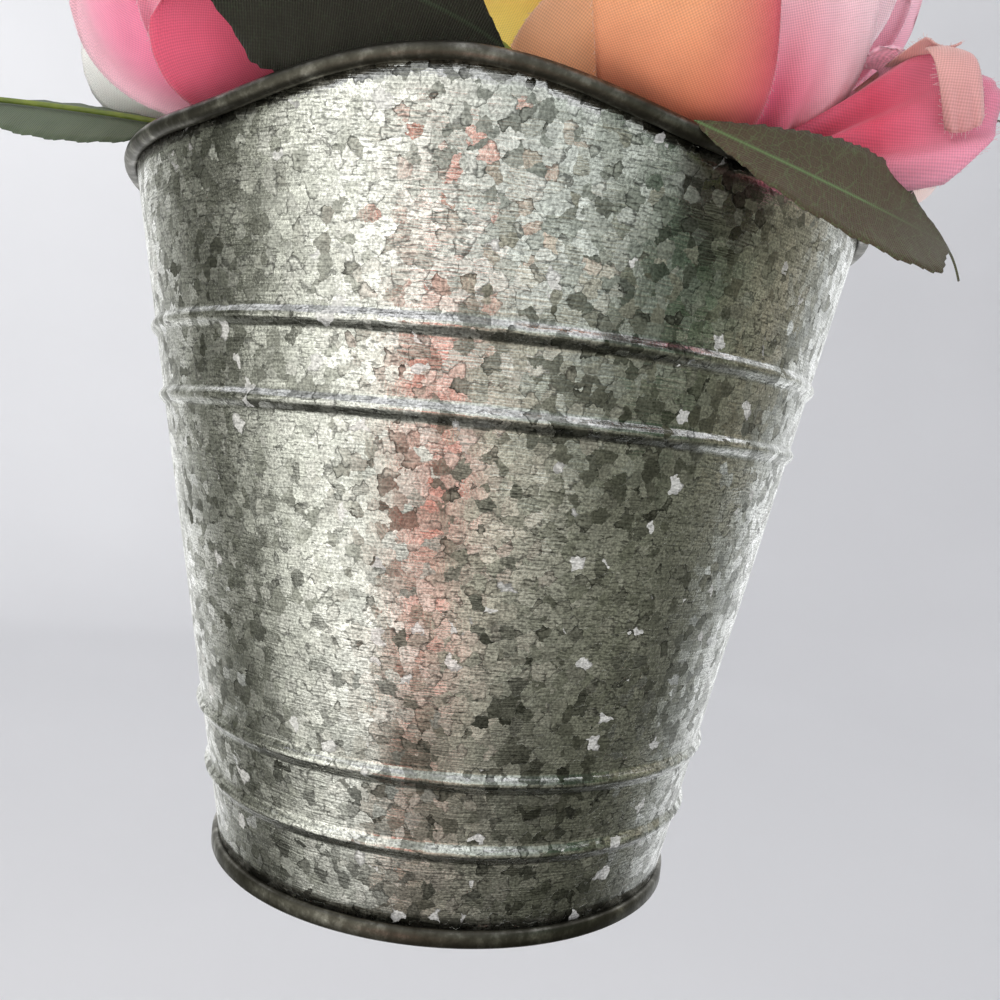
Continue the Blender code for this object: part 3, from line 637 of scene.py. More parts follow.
# The tree turns the section about the tin's axis, so the shift to the frame comes after it.
front_wall = make_piece("ribbed_wall", np.array(section_line) - TO_FRAME, [], wall_zinc)
run_tree(front_wall, wall_tree, Columns=WALL_COLUMNS, BackDistance=BACK_INSIDE, Taper=TAPER,
         Crown=FRONT_CROWN, CrownHalfAngle=FRONT_CROWN_HALF_ANGLE,
         CrownFrom=RIM_LEVEL - CROWN_REACH, CrownTo=RIM_LEVEL - BEAD_RADIUS,
         Dents=DENTS, Material=wall_zinc)
front_wall.data.transform(Matrix.Translation(Vector(TO_FRAME)))
thicken(front_wall, "sheet", SHEET, side=-1.0)
stands_for(front_wall, "front_wall")
print("wall:", len(levels), "rows,", len(front_wall.data.polygons), "faces, maps",
      front_wall.data.uv_layers.keys())

# %% [markdown]
# The rim is the sheet's own top edge, rolled over a wire. It goes right round the tin: round
# the front, where it rises into a low crown, and straight across the back, where it rises
# higher to make room for the hanging hole. The foot ring is a folded strip. Both are one
# small outline carried round the same D-shaped path, so one function makes both.

# %% Rolled rim and foot ring
def hill(distance, half_width):
    return np.cos(0.5 * np.pi * np.clip(np.abs(distance) / half_width, 0, 1)) ** 2


FRONT_STEPS, BACK_STEPS = 180, 60
TURN_STEPS = 14                             # corners of the bead's outline
CHIME_THICK = 0.0022
CHIME_SOFT = 0.0005                         # its folded edges are not sharp


def carried_round(name, outline, radius, back, material, crowned):
    """A closed ring: the outline (outward, up) carried round the D-shaped plan."""
    points = []
    for outward, up in outline:
        r, y = radius + outward, back + outward
        limit = math.acos(-y / r)
        angle = np.linspace(-limit, limit, FRONT_STEPS)
        x = np.linspace(r * math.sin(limit), -r * math.sin(limit), BACK_STEPS + 2)[1:-1]
        front_up = FRONT_CROWN * hill(angle, FRONT_CROWN_HALF_ANGLE) * crowned + up
        back_up = BACK_CROWN * hill(x, BACK_CROWN_HALF_WIDTH) * crowned + up
        points.append(np.column_stack([r * np.sin(angle), -r * np.cos(angle), front_up]))
        points.append(np.column_stack([x, np.full(BACK_STEPS, y), back_up]))
    steps = FRONT_STEPS + BACK_STEPS
    faces = [[i % (steps * len(outline)) for i in face]
             for face in grid_faces(len(outline) + 1, steps, ring=True)]
    return make_piece(name, np.vstack(points), faces, material)


def face_outward(piece):
    """Turns every face of a closed piece to look out."""
    shape = bmesh.new()
    shape.from_mesh(piece.data)
    bmesh.ops.recalc_face_normals(shape, faces=shape.faces)
    shape.to_mesh(piece.data)
    shape.free()


turns = [2 * math.pi * i / TURN_STEPS for i in range(TURN_STEPS)]
rim = carried_round("rolled_rim_bead",
                    [(BEAD_RADIUS * math.cos(t), RIM_LEVEL + BEAD_RADIUS * math.sin(t))
                     for t in turns],
                    RIM_RADIUS + BEAD_OFFSET, WALL_DISTANCE - BEAD_RADIUS, edge_zinc, 1.0)
soft, half = CHIME_SOFT, 0.5 * CHIME_THICK
fold = [(half, soft), (half, CHIME_HEIGHT - soft), (half - soft, CHIME_HEIGHT),
        (soft - half, CHIME_HEIGHT), (-half, CHIME_HEIGHT - soft), (-half, soft),
        (soft - half, 0.0), (half - soft, 0.0)]
chime = carried_round("folded_foot_ring", fold, FOOT_RADIUS + CHIME_PROUD - half,
                      WALL_DISTANCE - half, edge_zinc, 0.0)
for piece, node in ((rim, "rolled_rim"), (chime, "base_chime")):
    face_outward(piece)
    stands_for(piece, node)
print("rim bead", 2 * BEAD_RADIUS / MM, "mm thick; foot ring", CHIME_HEIGHT / MM, "mm high")

# %% Flat back and base keep their solid shape, in the same zinc
for name in ("back_plate", "base_plate"):
    for slot in bpy.data.objects[name].material_slots:
        slot.material = plate_zinc

# %% [markdown]
# ## Petals of woven cloth
# An artificial rose is made in layers. Each layer is a flat disc of dyed, stiffened cloth,
# die-cut into four or five petals, pressed warm over a mould so that the petals cup, and
# threaded on the stem. The cut edges are not hemmed, so they fray a little and roll back.
# A petal here is one curved grid. Its midline is a smooth curve through the air from foot to
# tip; its width spreads from a narrow foot to a full, rounded top; a cup bends it across, a
# curl rolls its edge back, and pleats gather it near the foot. Petals of one layer differ by
# small random amounts from a fixed seed.

# %% One petal
PETAL_COLUMNS = 27
CURL_BAND = 6 * MM                  # how far in from the edge a petal curls


def unit(vector):
    vector = np.asarray(vector, float)
    return vector / np.maximum(np.linalg.norm(vector, axis=-1, keepdims=True), 1e-12)


def bezier(controls, share):
    """Points and directions on a Bezier curve with any number of control points."""
    levels = [np.asarray(c, float)[None, :] + 0 * share[:, None] for c in controls]
    while len(levels) > 2:
        levels = [a + (b - a) * share[:, None] for a, b in zip(levels, levels[1:])]
    return levels[0] + (levels[1] - levels[0]) * share[:, None], unit(levels[1] - levels[0])


def petal(midline, side, width, cup=0.6, foot=0.28, full=0.62, top=0.34, curl=0.0, ruffle=0.0,
          waves=3.0, phase=0.0, pleats=0.0, pleat_count=5, rows=26, columns=PETAL_COLUMNS):
    """Points and UV of one petal. The midline runs foot to tip, side points across it.

    The foot's width is a share of the full width, which is reached at full. The sides end
    lower than the tip by the share top. Lengths are in metres, the cup in radians.
    """
    v, u = [grid.ravel() for grid in np.meshgrid(np.linspace(0, 1, rows),
                                                 np.linspace(-1, 1, columns),
                                                 indexing="ij")]
    reach = v * (1 - top * np.abs(u) ** 2.6)
    middle, along = bezier(midline, reach)
    across = unit(side - along * np.sum(along * np.asarray(side), axis=1, keepdims=True))
    inner = np.cross(along, across)
    spread = np.sin(0.5 * np.pi * np.clip(reach / full, 0, 1)) ** 1.2
    half = 0.5 * width * (foot + (1 - foot) * spread)
    half *= 1 - 0.12 * np.clip((reach - full) / (1 - full), 0, 1) ** 2
    cup, inward = max(abs(cup), 1e-3), math.copysign(1.0, cup)
    turn = u * cup
    sideways = half * np.sin(turn) / cup
    lift = inward * half * (1 - np.cos(turn)) / cup
    length = np.sum(np.linalg.norm(np.diff(bezier(midline, np.linspace(0, 1, 40))[0], axis=0),
                                   axis=1))
    to_edge = np.minimum((1 - v) * length, (1 - np.abs(u)) * half * 1.3)
    lift -= curl * np.clip(1 - to_edge / CURL_BAND, 0, 1) ** 2
    lift += ruffle * reach ** 2 * np.abs(u) ** 0.8 * np.sin(waves * np.pi * u + phase + 2.0 * reach)
    lift += pleats * (1 - reach) ** 1.5 * np.cos(pleat_count * np.pi * u)
    points = middle + across * sideways[:, None] + inner * lift[:, None]
    uv = np.column_stack([u * half, reach * length])
    return points, uv, u, reach

# %% [markdown]
# Threads, stems and wires are all round rods along a path. One Geometry Nodes tree makes
# them: the path becomes a curve, a small circle is carried along it, and the ends are
# closed. A frayed thread is the same rod with only three sides.

# %% Tree: a round rod along a path
rod_tree, given, out = new_tree("rod_along_path",
                                [("Radius", "Float"), ("Sides", "Int"), ("Material", "Material")])
path = put(rod_tree, "GeometryNodeMeshToCurve", {"Mesh": given["Geometry"]})
ring = put(rod_tree, "GeometryNodeCurvePrimitiveCircle",
           {"Resolution": given["Sides"], "Radius": given["Radius"]})
tube = put(rod_tree, "GeometryNodeCurveToMesh",
           {"Curve": path, "Profile Curve": ring, "Fill Caps": True})
smooth = put(rod_tree, "GeometryNodeSetShadeSmooth", [tube])
real = put(rod_tree, "GeometryNodeRealizeInstances", [smooth])
painted = put(rod_tree, "GeometryNodeSetMaterial",
              {"Geometry": real, "Material": given["Material"]})
rod_tree.links.new(painted.outputs[0], out.inputs[0])


def rods(name, paths, radius, sides, material, colours=None):
    """One piece made of round rods. Each path is a list of points about the tin's axis."""
    points, edges = [], []
    for path in paths:
        edges += [(len(points) + i, len(points) + i + 1) for i in range(len(path) - 1)]
        points += [tuple(p) for p in path]
    piece = make_piece(name, points, [], material, colours=colours, edges=edges)
    run_tree(piece, rod_tree, Radius=radius, Sides=sides, Material=material)
    face_outward(piece)
    return piece


print("rod_along_path has", len(rod_tree.nodes), "nodes")

# %% [markdown]
# ## Dyed cloth
# The cloth is plain-woven polyester: each thread passes over one and under the next, which
# gives a fine chequer of bumps. The dye is brushed on by hand from the foot outwards, so one
# petal runs from deep to pale. The chequer comes from two sine waves across the UV map, which
# is in metres; the dye is stored in the mesh as a colour for each point. The fine fuzz on the
# threads is sheen.

# %% Material: plain-woven polyester, dyed by hand
THREAD_SPACING = 0.29 * MM          # a coarse weave, so that single threads can be seen
THREAD_BUMP = 0.032 * MM
BIAS = 0.45                         # the petals are cut a little across the weave, in radians
FUZZ = 0.25                         # loose fibres on the threads


def woven(name):
    """Cloth that takes its colour from the mesh and its threads from the UV map."""
    material, tree, shader, coords = new_material(name)
    # For three shaped petals this colour also holds painted shade and painted light.
    dye = put(tree, "ShaderNodeAttribute", attribute_name="dye")
    bias = put(tree, "ShaderNodeMapping",
               {"Vector": coords.outputs["UV"], "Rotation": (0.0, 0.0, BIAS),
                "Scale": (math.pi / THREAD_SPACING,) * 3})
    split = put(tree, "ShaderNodeSeparateXYZ", [bias])
    weft = put(tree, "ShaderNodeMath", [split.outputs["X"]], operation="SINE")
    warp = put(tree, "ShaderNodeMath", [split.outputs["Y"]], operation="SINE")
    over = put(tree, "ShaderNodeMath", [weft, warp], operation="MULTIPLY")
    thread = put(tree, "ShaderNodeMapRange", [over, -1.0, 1.0, 0.76, 1.15])
    blotch = put(tree, "ShaderNodeTexNoise",
                 {"Vector": coords.outputs["Object"], "Scale": 1 / (7 * MM), "Detail": 3.0})
    uneven = put(tree, "ShaderNodeMapRange", [blotch.outputs["Fac"], 0.3, 0.7, 0.93, 1.06])
    shade = put(tree, "ShaderNodeMath", [thread, uneven], operation="MULTIPLY")
    grey = put(tree, "ShaderNodeCombineXYZ", [shade, shade, shade])
    tint = put(tree, "ShaderNodeMix", {0: 1.0, 6: dye.outputs["Color"], 7: grey}, data_type="RGBA",
               blend_type="MULTIPLY")
    tree.links.new(tint.outputs[2], shader.inputs["Base Color"])
    height = put(tree, "ShaderNodeMath", [over, THREAD_BUMP], operation="MULTIPLY")
    relief = put(tree, "ShaderNodeBump", {"Height": height, "Distance": 1.0, "Strength": 0.8})
    tree.links.new(relief.outputs[0], shader.inputs["Normal"])
    shader.inputs["Roughness"].default_value = 0.80
    shader.inputs["Sheen Weight"].default_value = FUZZ
    shader.inputs["Sheen Roughness"].default_value = 0.4
    # light soaks through thin cloth
    shader.inputs["Subsurface Weight"].default_value = 0.35
    shader.inputs["Subsurface Radius"].default_value = (1.0, 0.7, 0.7)
    shader.inputs["Subsurface Scale"].default_value = 1.5 * MM
    return material


CLOTHS = {dye: woven(dye + "_dyed_polyester") for dye in ("pink", "peach", "yellow", "cream")}
print("cloths:", ", ".join(CLOTHS))

# %% [markdown]
# ## The roses
# Each rose has an axis through its foot and its middle. The petals of a ring stand round
# that axis and share one midline, given as distances out from the axis and up along it, in
# parts of the rose's radius. The outer two rings open wide, the inner ring stays upright and
# the heart is rolled. The petals that hang over the rim of the tin are pressed to their own
# shapes, so these are set out one by one, in millimetres from the tin's axis.

# %% Where the roses stand and how they are dyed
ROSES = {   # middle (m), compass and lean (degrees), radius (m), cloth, dyes from foot to tip
    "rose_left": ((-0.047, -0.046, 0.173), -43, 42, 0.0360, "pink",
                  ("#d24a6c", "#ec8ba5", "#f4b9c8")),
    "rose_front": ((0.031, -0.058, 0.181), 23, 40, 0.0335, "peach",
                   ("#e0703f", "#eba36a", "#f4c89c")),
    "rose_right": ((0.069, -0.014, 0.183), 80, 17, 0.0250, "pink",
                   ("#e0708c", "#efa3b5", "#f4ccd5")),
    "rose_top": ((-0.005, -0.011, 0.213), 0, 6, 0.0375, "yellow",
                 ("#d79a34", "#e9bd55", "#f3d98a")),
    "rose_side": ((-0.083, 0.010, 0.184), -94, 42, 0.0300, "cream",
                  ("#d6cba4", "#e9e2cc", "#f4f1e8")),
    "rose_rear": ((0.036, 0.0165, 0.181), 150, 12, 0.0240, "cream",
                  ("#d6cba4", "#ebe4d0", "#f5f2ea"))}
# node, petals, first turn, midline (out, up) and width in radii, cup, curl and ruffle in mm
RINGS = (
    ("outer_petals", 5, 0.0, ((0.10, 0.12), (0.72, 0.12), (0.98, 0.80), (1.16, 1.12)),
     1.46, 0.75, 3.0, 1.4),
    ("outer_petals", 5, 36.0, ((0.08, 0.16), (0.60, 0.28), (0.70, 0.95), (0.88, 1.34)),
     1.32, 0.85, 2.6, 1.1),
    ("inner_petals", 4, 20.0, ((0.06, 0.20), (0.46, 0.38), (0.47, 1.02), (0.60, 1.46)),
     1.12, 1.15, 1.8, 0.8),
    ("heart", 3, 50.0, ((0.04, 0.26), (0.30, 0.48), (0.30, 1.05), (0.29, 1.48)),
     0.86, 1.55, 1.0, 0.4),
    ("heart", 2, 0.0, ((0.02, 0.30), (0.14, 0.55), (0.13, 1.05), (0.12, 1.44)),
     0.56, 2.3, 0.5, 0.2))
# rose, midline (mm), across, width (mm), how it is bent, dyes from foot to tip, dye of one side
SHAPED = {
    "left_outer": ("rose_left",
                   ((-33, -30, 156), (-50, -44, 149), (-75, -46, 157), (-84.5, -43, 177),
                    (-78, -38, 199)),
                   (0.62, -0.45, 0.2), 29, dict(cup=0.6, curl=2.0),
                   ("#ee5f88", "#ee86a3", "#eca6b8"), (-1, "#e2b2bc")),
    "left_curl": ("rose_left",
                  ((-45, -40, 150), (-52, -54, 150), (-57, -62, 158), (-57, -64, 170),
                   (-52, -60, 186)),
                  (-0.9, 0.3, 0.2), 8, dict(cup=1.2), ("#e8708c", "#e58a9f", "#f0aebc"),
                  (-1, "#f2c6cd")),
    # Its tip dye is darkened into a painted shadow of the leaf over it.
    "left_low": ("rose_left",
                 ((-36, -38, 149), (-40, -58, 145), (-41, -65, 152), (-37, -64, 160),
                  (-31, -61, 170)),
                 (1.0, 0.1, 0.25), 34, dict(cup=0.5, curl=1.0, top=0.45),
                 ("#dc6079", "#d2526d", "#98304a"), (1, "#d4617a")),
    "side_low": ("rose_side",
                 ((-52, 0, 163), (-65, -14, 156), (-82, -21, 158.5), (-89.5, -21, 171),
                  (-88, -18, 186)),
                 (0.85, -0.4, 0.3), 26, dict(cup=0.3), ("#f6f5ea", "#fbfaf2", "#fdfcf6"),
                 (-1, "#fdfcf6")),
    "top_front": ("rose_top", ((-4, -16, 182), (2, -44, 184), (8, -60, 172), (9, -66, 147)),
                  (1.0, 0.0, 0.0), 40, dict(cup=-0.5), ("#e0a63a", "#f6cf5c", "#ffe474"),
                  (1, "#ffe880")),
    "front_main": ("rose_front",
                   ((35.5, -50, 146), (36.5, -66, 140), (35.5, -80, 153), (32.5, -92, 168),
                    (25, -97, 190)),
                   (1.0, 0.2, 0.0), 29, dict(cup=0.6, curl=1.0, foot=0.65, full=0.4),
                   ("#c8543f", "#e09a70", "#efbb85"), (1, "#bd4f5d")),
    "front_left": ("rose_front",
                   ((13, -52, 139), (10.5, -65, 147), (20, -70, 152.5), (37, -75, 162)),
                   (0.75, 0.1, -0.65), 27, dict(cup=0.4, foot=0.6, top=0.3),
                   ("#d57a4c", "#e6a075", "#edb387"), (-1, "#dca883")),
    # Its foot dye is brighter than its middle: painted light that offsets the shade between the
    # petals there.
    "right_tall": ("rose_right",
                   ((46, -36, 150), (50, -58, 144), (52.5, -63, 156), (52.5, -64, 176),
                    (51, -60, 194)),
                   (1.0, 0.2, 0.1), 31,
                   dict(cup=0.5, curl=1.0, foot=0.6, pleats=1.6, pleat_count=4),
                   ("#f86a86", "#e46681", "#ecb3bc", "#f3d5d9"), (1, "#ecc6cc")),
    "right_back": ("rose_right", ((60, -30, 163), (61, -38, 168), (63.5, -42, 177), (74, -38, 198)),
                   (1.0, 0.3, 0.1), 17, dict(cup=0.5, curl=1.0), ("#e27c92", "#eeb0bc", "#f4ccd3"),
                   (1, "#f3d3d9")),
    "right_loop": ("rose_right",
                   ((56, -42, 150), (65, -52, 151), (72.5, -54, 156), (70.5, -50, 164),
                    (64, -46, 165.5)),
                   (-0.3, 0.6, 0.7), 14, dict(cup=0.8), ("#fb7f9e", "#fca3bb", "#fcc6d4"),
                   (1, "#fcc6d4")),
    # Its dye is deep in the middle and bright at the foot: painted shade in the hollow of its
    # middle fold, and painted light against the shade of the pleats at the foot.
    "right_low": ("rose_right",
                  ((48, -38, 146), (60, -57, 146.5), (73, -65, 150.5), (84, -61, 156)),
                  (-0.2, 0.2, 0.95), 24,
                  dict(cup=-0.4, foot=0.25, full=0.85, top=0.30, pleats=3.2, pleat_count=3,
                       ruffle=2.8, waves=2.6),
                  ("#f27a94", "#c9455f", "#d07c92"), (-1, "#db94a8")),
    "right_flap": ("rose_right",
                   ((74.5, -64, 160.5), (76, -68, 158.5), (77, -67, 153.5), (79.5, -63.5, 148)),
                   (1.0, 0.1, 0.0), 6.6, dict(cup=-0.35, foot=1.0, full=0.3, top=0.05),
                   ("#cf9f98", "#cb9893", "#c38d8b"), (1, "#cb9894")),
    "right_under": ("rose_right", ((59, -38, 146), (69, -50, 138), (77, -53, 138), (81, -48, 146)),
                    (0.3, 0.9, 0.0), 18, dict(cup=0.6), ("#dfb2a6", "#e6c2b8", "#ecd0c8"),
                    (1, "#ecd0c8"))}
# petals and leaves press flat against the wall behind
BEFORE_THE_WALL = WALL_DISTANCE - 0.001
# degrees each ring leaves open where shaped petals hang
GAP_FOR_SHAPED = (84, 48, 28, 0, 0)
# a rose that leans less than this keeps all its ring petals
UPRIGHT = 15
print(len(ROSES), "roses,", len(SHAPED), "petals shaped one by one")

# %% Rings, layers and frayed edges
draw = np.random.default_rng(7)
PETAL_CLOTH = 0.28 * MM
THREAD_RADIUS = 0.045 * MM
LOOSE_THREADS = 0.65 * MM           # distance from one loose thread to the next
FOOT_ROWS = 14


def dyed(dyes, side_dye, u, reach):
    """A colour for each point: along the petal through the dyes, and towards one side."""
    stops = np.array([linear(dye) for dye in dyes])
    place = np.clip((reach - 0.12) / 0.80, 0, 0.999) * (len(stops) - 1)
    low = place.astype(int)
    colours = stops[low] + (stops[low + 1] - stops[low]) * (place - low)[:, None]
    if side_dye:
        side, dye = side_dye
        share = (np.clip(side * u, 0, 1) ** 1.5)[:, None]
        colours = colours + (np.array(linear(dye)) - colours) * share
    return colours


def threads_on(grid, colours, spacing=LOOSE_THREADS):
    """Short loose threads along the open sides and the tip of one petal."""
    paths, dyes = [], []
    start = grid.shape[0] // 3
    edges = ((grid[start:, 0], grid[start:, 1], colours[start:, 0]),
             (grid[-1], grid[-2], colours[-1]),
             (grid[start:, -1], grid[start:, -2], colours[start:, -1]))
    for line, inside, dye in edges:
        length = np.concatenate([[0], np.cumsum(np.linalg.norm(np.diff(line, axis=0), axis=1))])
        for place in np.arange(0.3 * spacing, length[-1], spacing):
            place = min(place + draw.uniform(-0.3, 0.3) * spacing, length[-1])
            at = np.array([np.interp(place, length, line[:, k]) for k in range(3)])
            inner = np.array([np.interp(place, length, inside[:, k]) for k in range(3)])
            away = unit(at - inner)
            reach = draw.uniform(0.25, 0.85) * MM
            stray = draw.normal(0, 0.16, 3) * MM
            paths.append([at - away * 0.25 * MM, at + away * 0.5 * reach + 0.3 * stray,
                          at + away * reach + stray])
            paler = np.array([np.interp(place, length, dye[:, k]) for k in range(4)])
            dyes += [0.75 * paler + 0.25] * 3
    return paths, dyes


def layer(name, node, petals, cloth, flies=True):
    """One piece of cloth from the given petals, each (points, uv, u, reach, dyes, side dye)."""
    points, uv, colours, faces, threads, thread_dyes, flat = [], [], [], [], [], [], 0.0
    for place, sheet, u, reach, dyes, side_dye in petals:
        rows = len(place) // PETAL_COLUMNS
        place[:, 1] = np.minimum(place[:, 1], BEFORE_THE_WALL)
        dye = dyed(dyes, side_dye, u, reach)
        faces += grid_faces(rows, PETAL_COLUMNS, first=sum(map(len, points)))
        points.append(place)
        uv.append(sheet + draw.uniform(0, 0.01, 2))
        colours.append(dye)
        flat += flat_area(sheet, rows, PETAL_COLUMNS)
        if flies:
            more, more_dyes = threads_on(place.reshape(rows, PETAL_COLUMNS, 3),
                                         dye.reshape(rows, PETAL_COLUMNS, 4))
            threads += more
            thread_dyes += more_dyes
    piece = make_piece(name, np.vstack(points), faces, CLOTHS[cloth], uv=np.vstack(uv),
                       colours=np.vstack(colours))
    thicken(piece, "cloth", PETAL_CLOTH)
    stands_for(piece, node)
    if threads:
        fray = rods(name + "_threads", threads, THREAD_RADIUS, 3, CLOTHS[cloth],
                    colours=thread_dyes)
        stands_for(fray, node)
    return piece


def rose_frame(middle, compass, lean, radius):
    """The rose's foot, its axis, the downhill way out from it and the way beside that."""
    turn, tip = math.radians(compass), math.radians(lean)
    axis = np.array((math.sin(tip) * math.sin(turn), -math.sin(tip) * math.cos(turn),
                     math.cos(tip)))
    downhill = np.array((math.cos(tip) * math.sin(turn), -math.cos(tip) * math.cos(turn),
                         -math.sin(tip)))
    return np.array(middle) - 0.85 * radius * axis, axis, downhill, np.cross(axis, downhill)


# %% The six roses
for rose, (middle, compass, lean, radius, cloth, dyes) in ROSES.items():
    foot, axis, downhill, beside = rose_frame(middle, compass, lean, radius)
    shaped = [entry for entry in SHAPED.values() if entry[0] == rose]
    layers = {}
    for number, (part, count, first, midline, width, cup, curl, ruffle) in enumerate(RINGS):
        for k in range(count):
            angle = first + 360 * k / count + draw.uniform(-7, 7)
            around_downhill = abs((angle + 180) % 360 - 180)
            grow = draw.uniform(0.94, 1.04)
            open_by = draw.uniform(-0.05, 0.05)
            phase = draw.uniform(0, 6.28)
            if shaped and lean > UPRIGHT and around_downhill < GAP_FOR_SHAPED[number]:
                continue                          # a shaped petal hangs here instead
            turn = math.radians(angle)
            out_way = downhill * math.cos(turn) + beside * math.sin(turn)
            line = [foot + radius * grow * (out_way * (o + open_by * u) + axis * u)
                    for o, u in midline]
            place, sheet, u, reach = petal(line, np.cross(axis, out_way), width * radius * grow,
                                           cup=cup, curl=curl * MM, ruffle=ruffle * MM,
                                           phase=phase)
            layers.setdefault(part, []).append((place, sheet, u, reach, dyes, None))
    for _, midline, across, width, bends, own_dyes_and_painted_shade, side_dye in shaped:
        bends = {key: value * MM if key in ("curl", "pleats", "ruffle") else value
                 for key, value in {"ruffle": 0.5, **bends}.items()}
        place, sheet, u, reach = petal(np.array(midline) * MM, unit(across), width * MM, **bends)
        layers["outer_petals"].append((place, sheet, u, reach, own_dyes_and_painted_shade, side_dye))
        # its narrow foot, from the rose to that petal
        start, onward = np.array(midline[:2]) * MM
        foot_width = max(bends.get("foot", 0.28) * width, 4) * MM
        place, sheet, u, reach = petal((foot, start - 0.5 * (onward - start), start),
                                       unit(across), foot_width, foot=0.45, full=0.98, top=0.0,
                                       rows=FOOT_ROWS)
        layers["outer_petals"].append((place, sheet, u, reach, own_dyes_and_painted_shade[:1] * 2, None))
    for part, petals in layers.items():
        layer(f"{rose}_{part}_cloth", f"{rose}_{part}", petals, cloth, flies=part == "outer_petals")

# %% [markdown]
# ## Leaves
# A cloth leaf is die-cut with a saw-toothed edge and a drawn-out tip. Its upper side is
# printed dark green, with paler veins; the back is left a lighter grey-green. A plastic
# midrib with a wire in it is glued under the blade, and it runs on as the leaf's own thin
# stem. The blade is a grid bent along the same curve as its solid stand-in. The teeth are in
# the outline, and the veins belong to the cloth's print, so the material draws them from
# the UV map: across the leaf in half-widths, along it in metres.

# %% Material: printed leaf cloth
VEIN_SPACING = 6.0 * MM
RIB_SPACING = 0.45 * MM


def printed_leaf(name, ground, ground_2, vein, rib_depth):
    """Cloth printed with a middle vein, slanting side veins and a fine net between them."""
    material, tree, shader, coords = new_material(name)
    split = put(tree, "ShaderNodeSeparateXYZ", [coords.outputs["UV"]])
    beside = put(tree, "ShaderNodeMath", [split.outputs["X"]], operation="ABSOLUTE")
    blotch = put(tree, "ShaderNodeTexNoise",
                 {"Vector": coords.outputs["Object"], "Scale": 1 / (5 * MM), "Detail": 4.0})
    shift = put(tree, "ShaderNodeMath", [blotch.outputs["Fac"], 2.2 * MM], operation="MULTIPLY")
    slanted = put(tree, "ShaderNodeMath", [beside, -0.62, split.outputs["Y"]],
                  operation="MULTIPLY_ADD")
    slanted = put(tree, "ShaderNodeMath", [slanted, shift], operation="ADD")
    wave = put(tree, "ShaderNodeMath", [slanted, VEIN_SPACING], operation="DIVIDE")
    wave = put(tree, "ShaderNodeMath", [wave], operation="FRACT")
    wave = put(tree, "ShaderNodeMath", [wave, 0.5], operation="SUBTRACT")
    wave = put(tree, "ShaderNodeMath", [wave], operation="ABSOLUTE")
    side_vein = put(tree, "ShaderNodeMapRange", [wave, 0.0, 0.045, 0.6, 0.0])
    fade = put(tree, "ShaderNodeMapRange", [blotch.outputs["Fac"], 0.44, 0.60, 0.0, 0.8])
    side_vein = put(tree, "ShaderNodeMath", [side_vein, fade], operation="MULTIPLY")
    middle_vein = put(tree, "ShaderNodeMapRange", [beside, 0.12 * MM, 0.45 * MM, 0.9, 0.0])
    runs_out = put(tree, "ShaderNodeMapRange", [split.outputs["Y"], 28 * MM, 44 * MM, 1.0, 0.15])
    middle_vein = put(tree, "ShaderNodeMath", [middle_vein, runs_out], operation="MULTIPLY")
    veins = put(tree, "ShaderNodeMath", [side_vein, middle_vein], operation="MAXIMUM")
    net = put(tree, "ShaderNodeTexVoronoi",
              {"Vector": coords.outputs["Object"], "Scale": 1 / (1.5 * MM)},
              feature="DISTANCE_TO_EDGE")
    fine = put(tree, "ShaderNodeMapRange", [net.outputs["Distance"], 0.0, 0.06, 0.38, 0.0])
    veins = put(tree, "ShaderNodeMath", [veins, fine], operation="MAXIMUM")
    base = put(tree, "ShaderNodeMix",
               {0: blotch.outputs["Fac"], 6: linear(ground), 7: linear(ground_2)}, data_type="RGBA")
    print_ink = put(tree, "ShaderNodeMix", {0: veins, 6: base.outputs[2], 7: linear(vein)},
                    data_type="RGBA")
    rib = put(tree, "ShaderNodeMath", [split.outputs["Y"], 2 * math.pi / RIB_SPACING],
              operation="MULTIPLY")
    rib = put(tree, "ShaderNodeMath", [rib], operation="SINE")
    thread = put(tree, "ShaderNodeMath", [split.outputs["X"], 2 * math.pi / (0.5 * MM)],
                 operation="MULTIPLY")
    thread = put(tree, "ShaderNodeMath", [thread], operation="SINE")
    weave = put(tree, "ShaderNodeMath", [thread, 0.35, rib], operation="MULTIPLY_ADD")
    shade = put(tree, "ShaderNodeMapRange", [weave, -1.35, 1.35, 1.0 - rib_depth, 1.0 + rib_depth])
    grey = put(tree, "ShaderNodeCombineXYZ", [shade, shade, shade])
    tint = put(tree, "ShaderNodeMix", {0: 1.0, 6: print_ink.outputs[2], 7: grey}, data_type="RGBA",
               blend_type="MULTIPLY")
    tree.links.new(tint.outputs[2], shader.inputs["Base Color"])
    height = put(tree, "ShaderNodeMath", [weave, 0.05 * MM], operation="MULTIPLY")
    relief = put(tree, "ShaderNodeBump", {"Height": height, "Distance": 1.0, "Strength": 0.9})
    tree.links.new(relief.outputs[0], shader.inputs["Normal"])
    shader.inputs["Roughness"].default_value = 0.72
    shader.inputs["Specular IOR Level"].default_value = 0.3
    shader.inputs["Sheen Weight"].default_value = 0.08
    return material


LEAF_TOPS = {"olive": printed_leaf("olive_printed_leaf_cloth", "#42392a", "#4e4532", "#5d7a4c",
                                   rib_depth=0.07),
             "dark": printed_leaf("dark_printed_leaf_cloth", "#1a1912", "#242319", "#2b3323",
                                  rib_depth=0.42),
             "pale": printed_leaf("pale_leaf_cloth_back", "#4f5e4a", "#606b57", "#5f6f4a",
                                  rib_depth=0.10)}

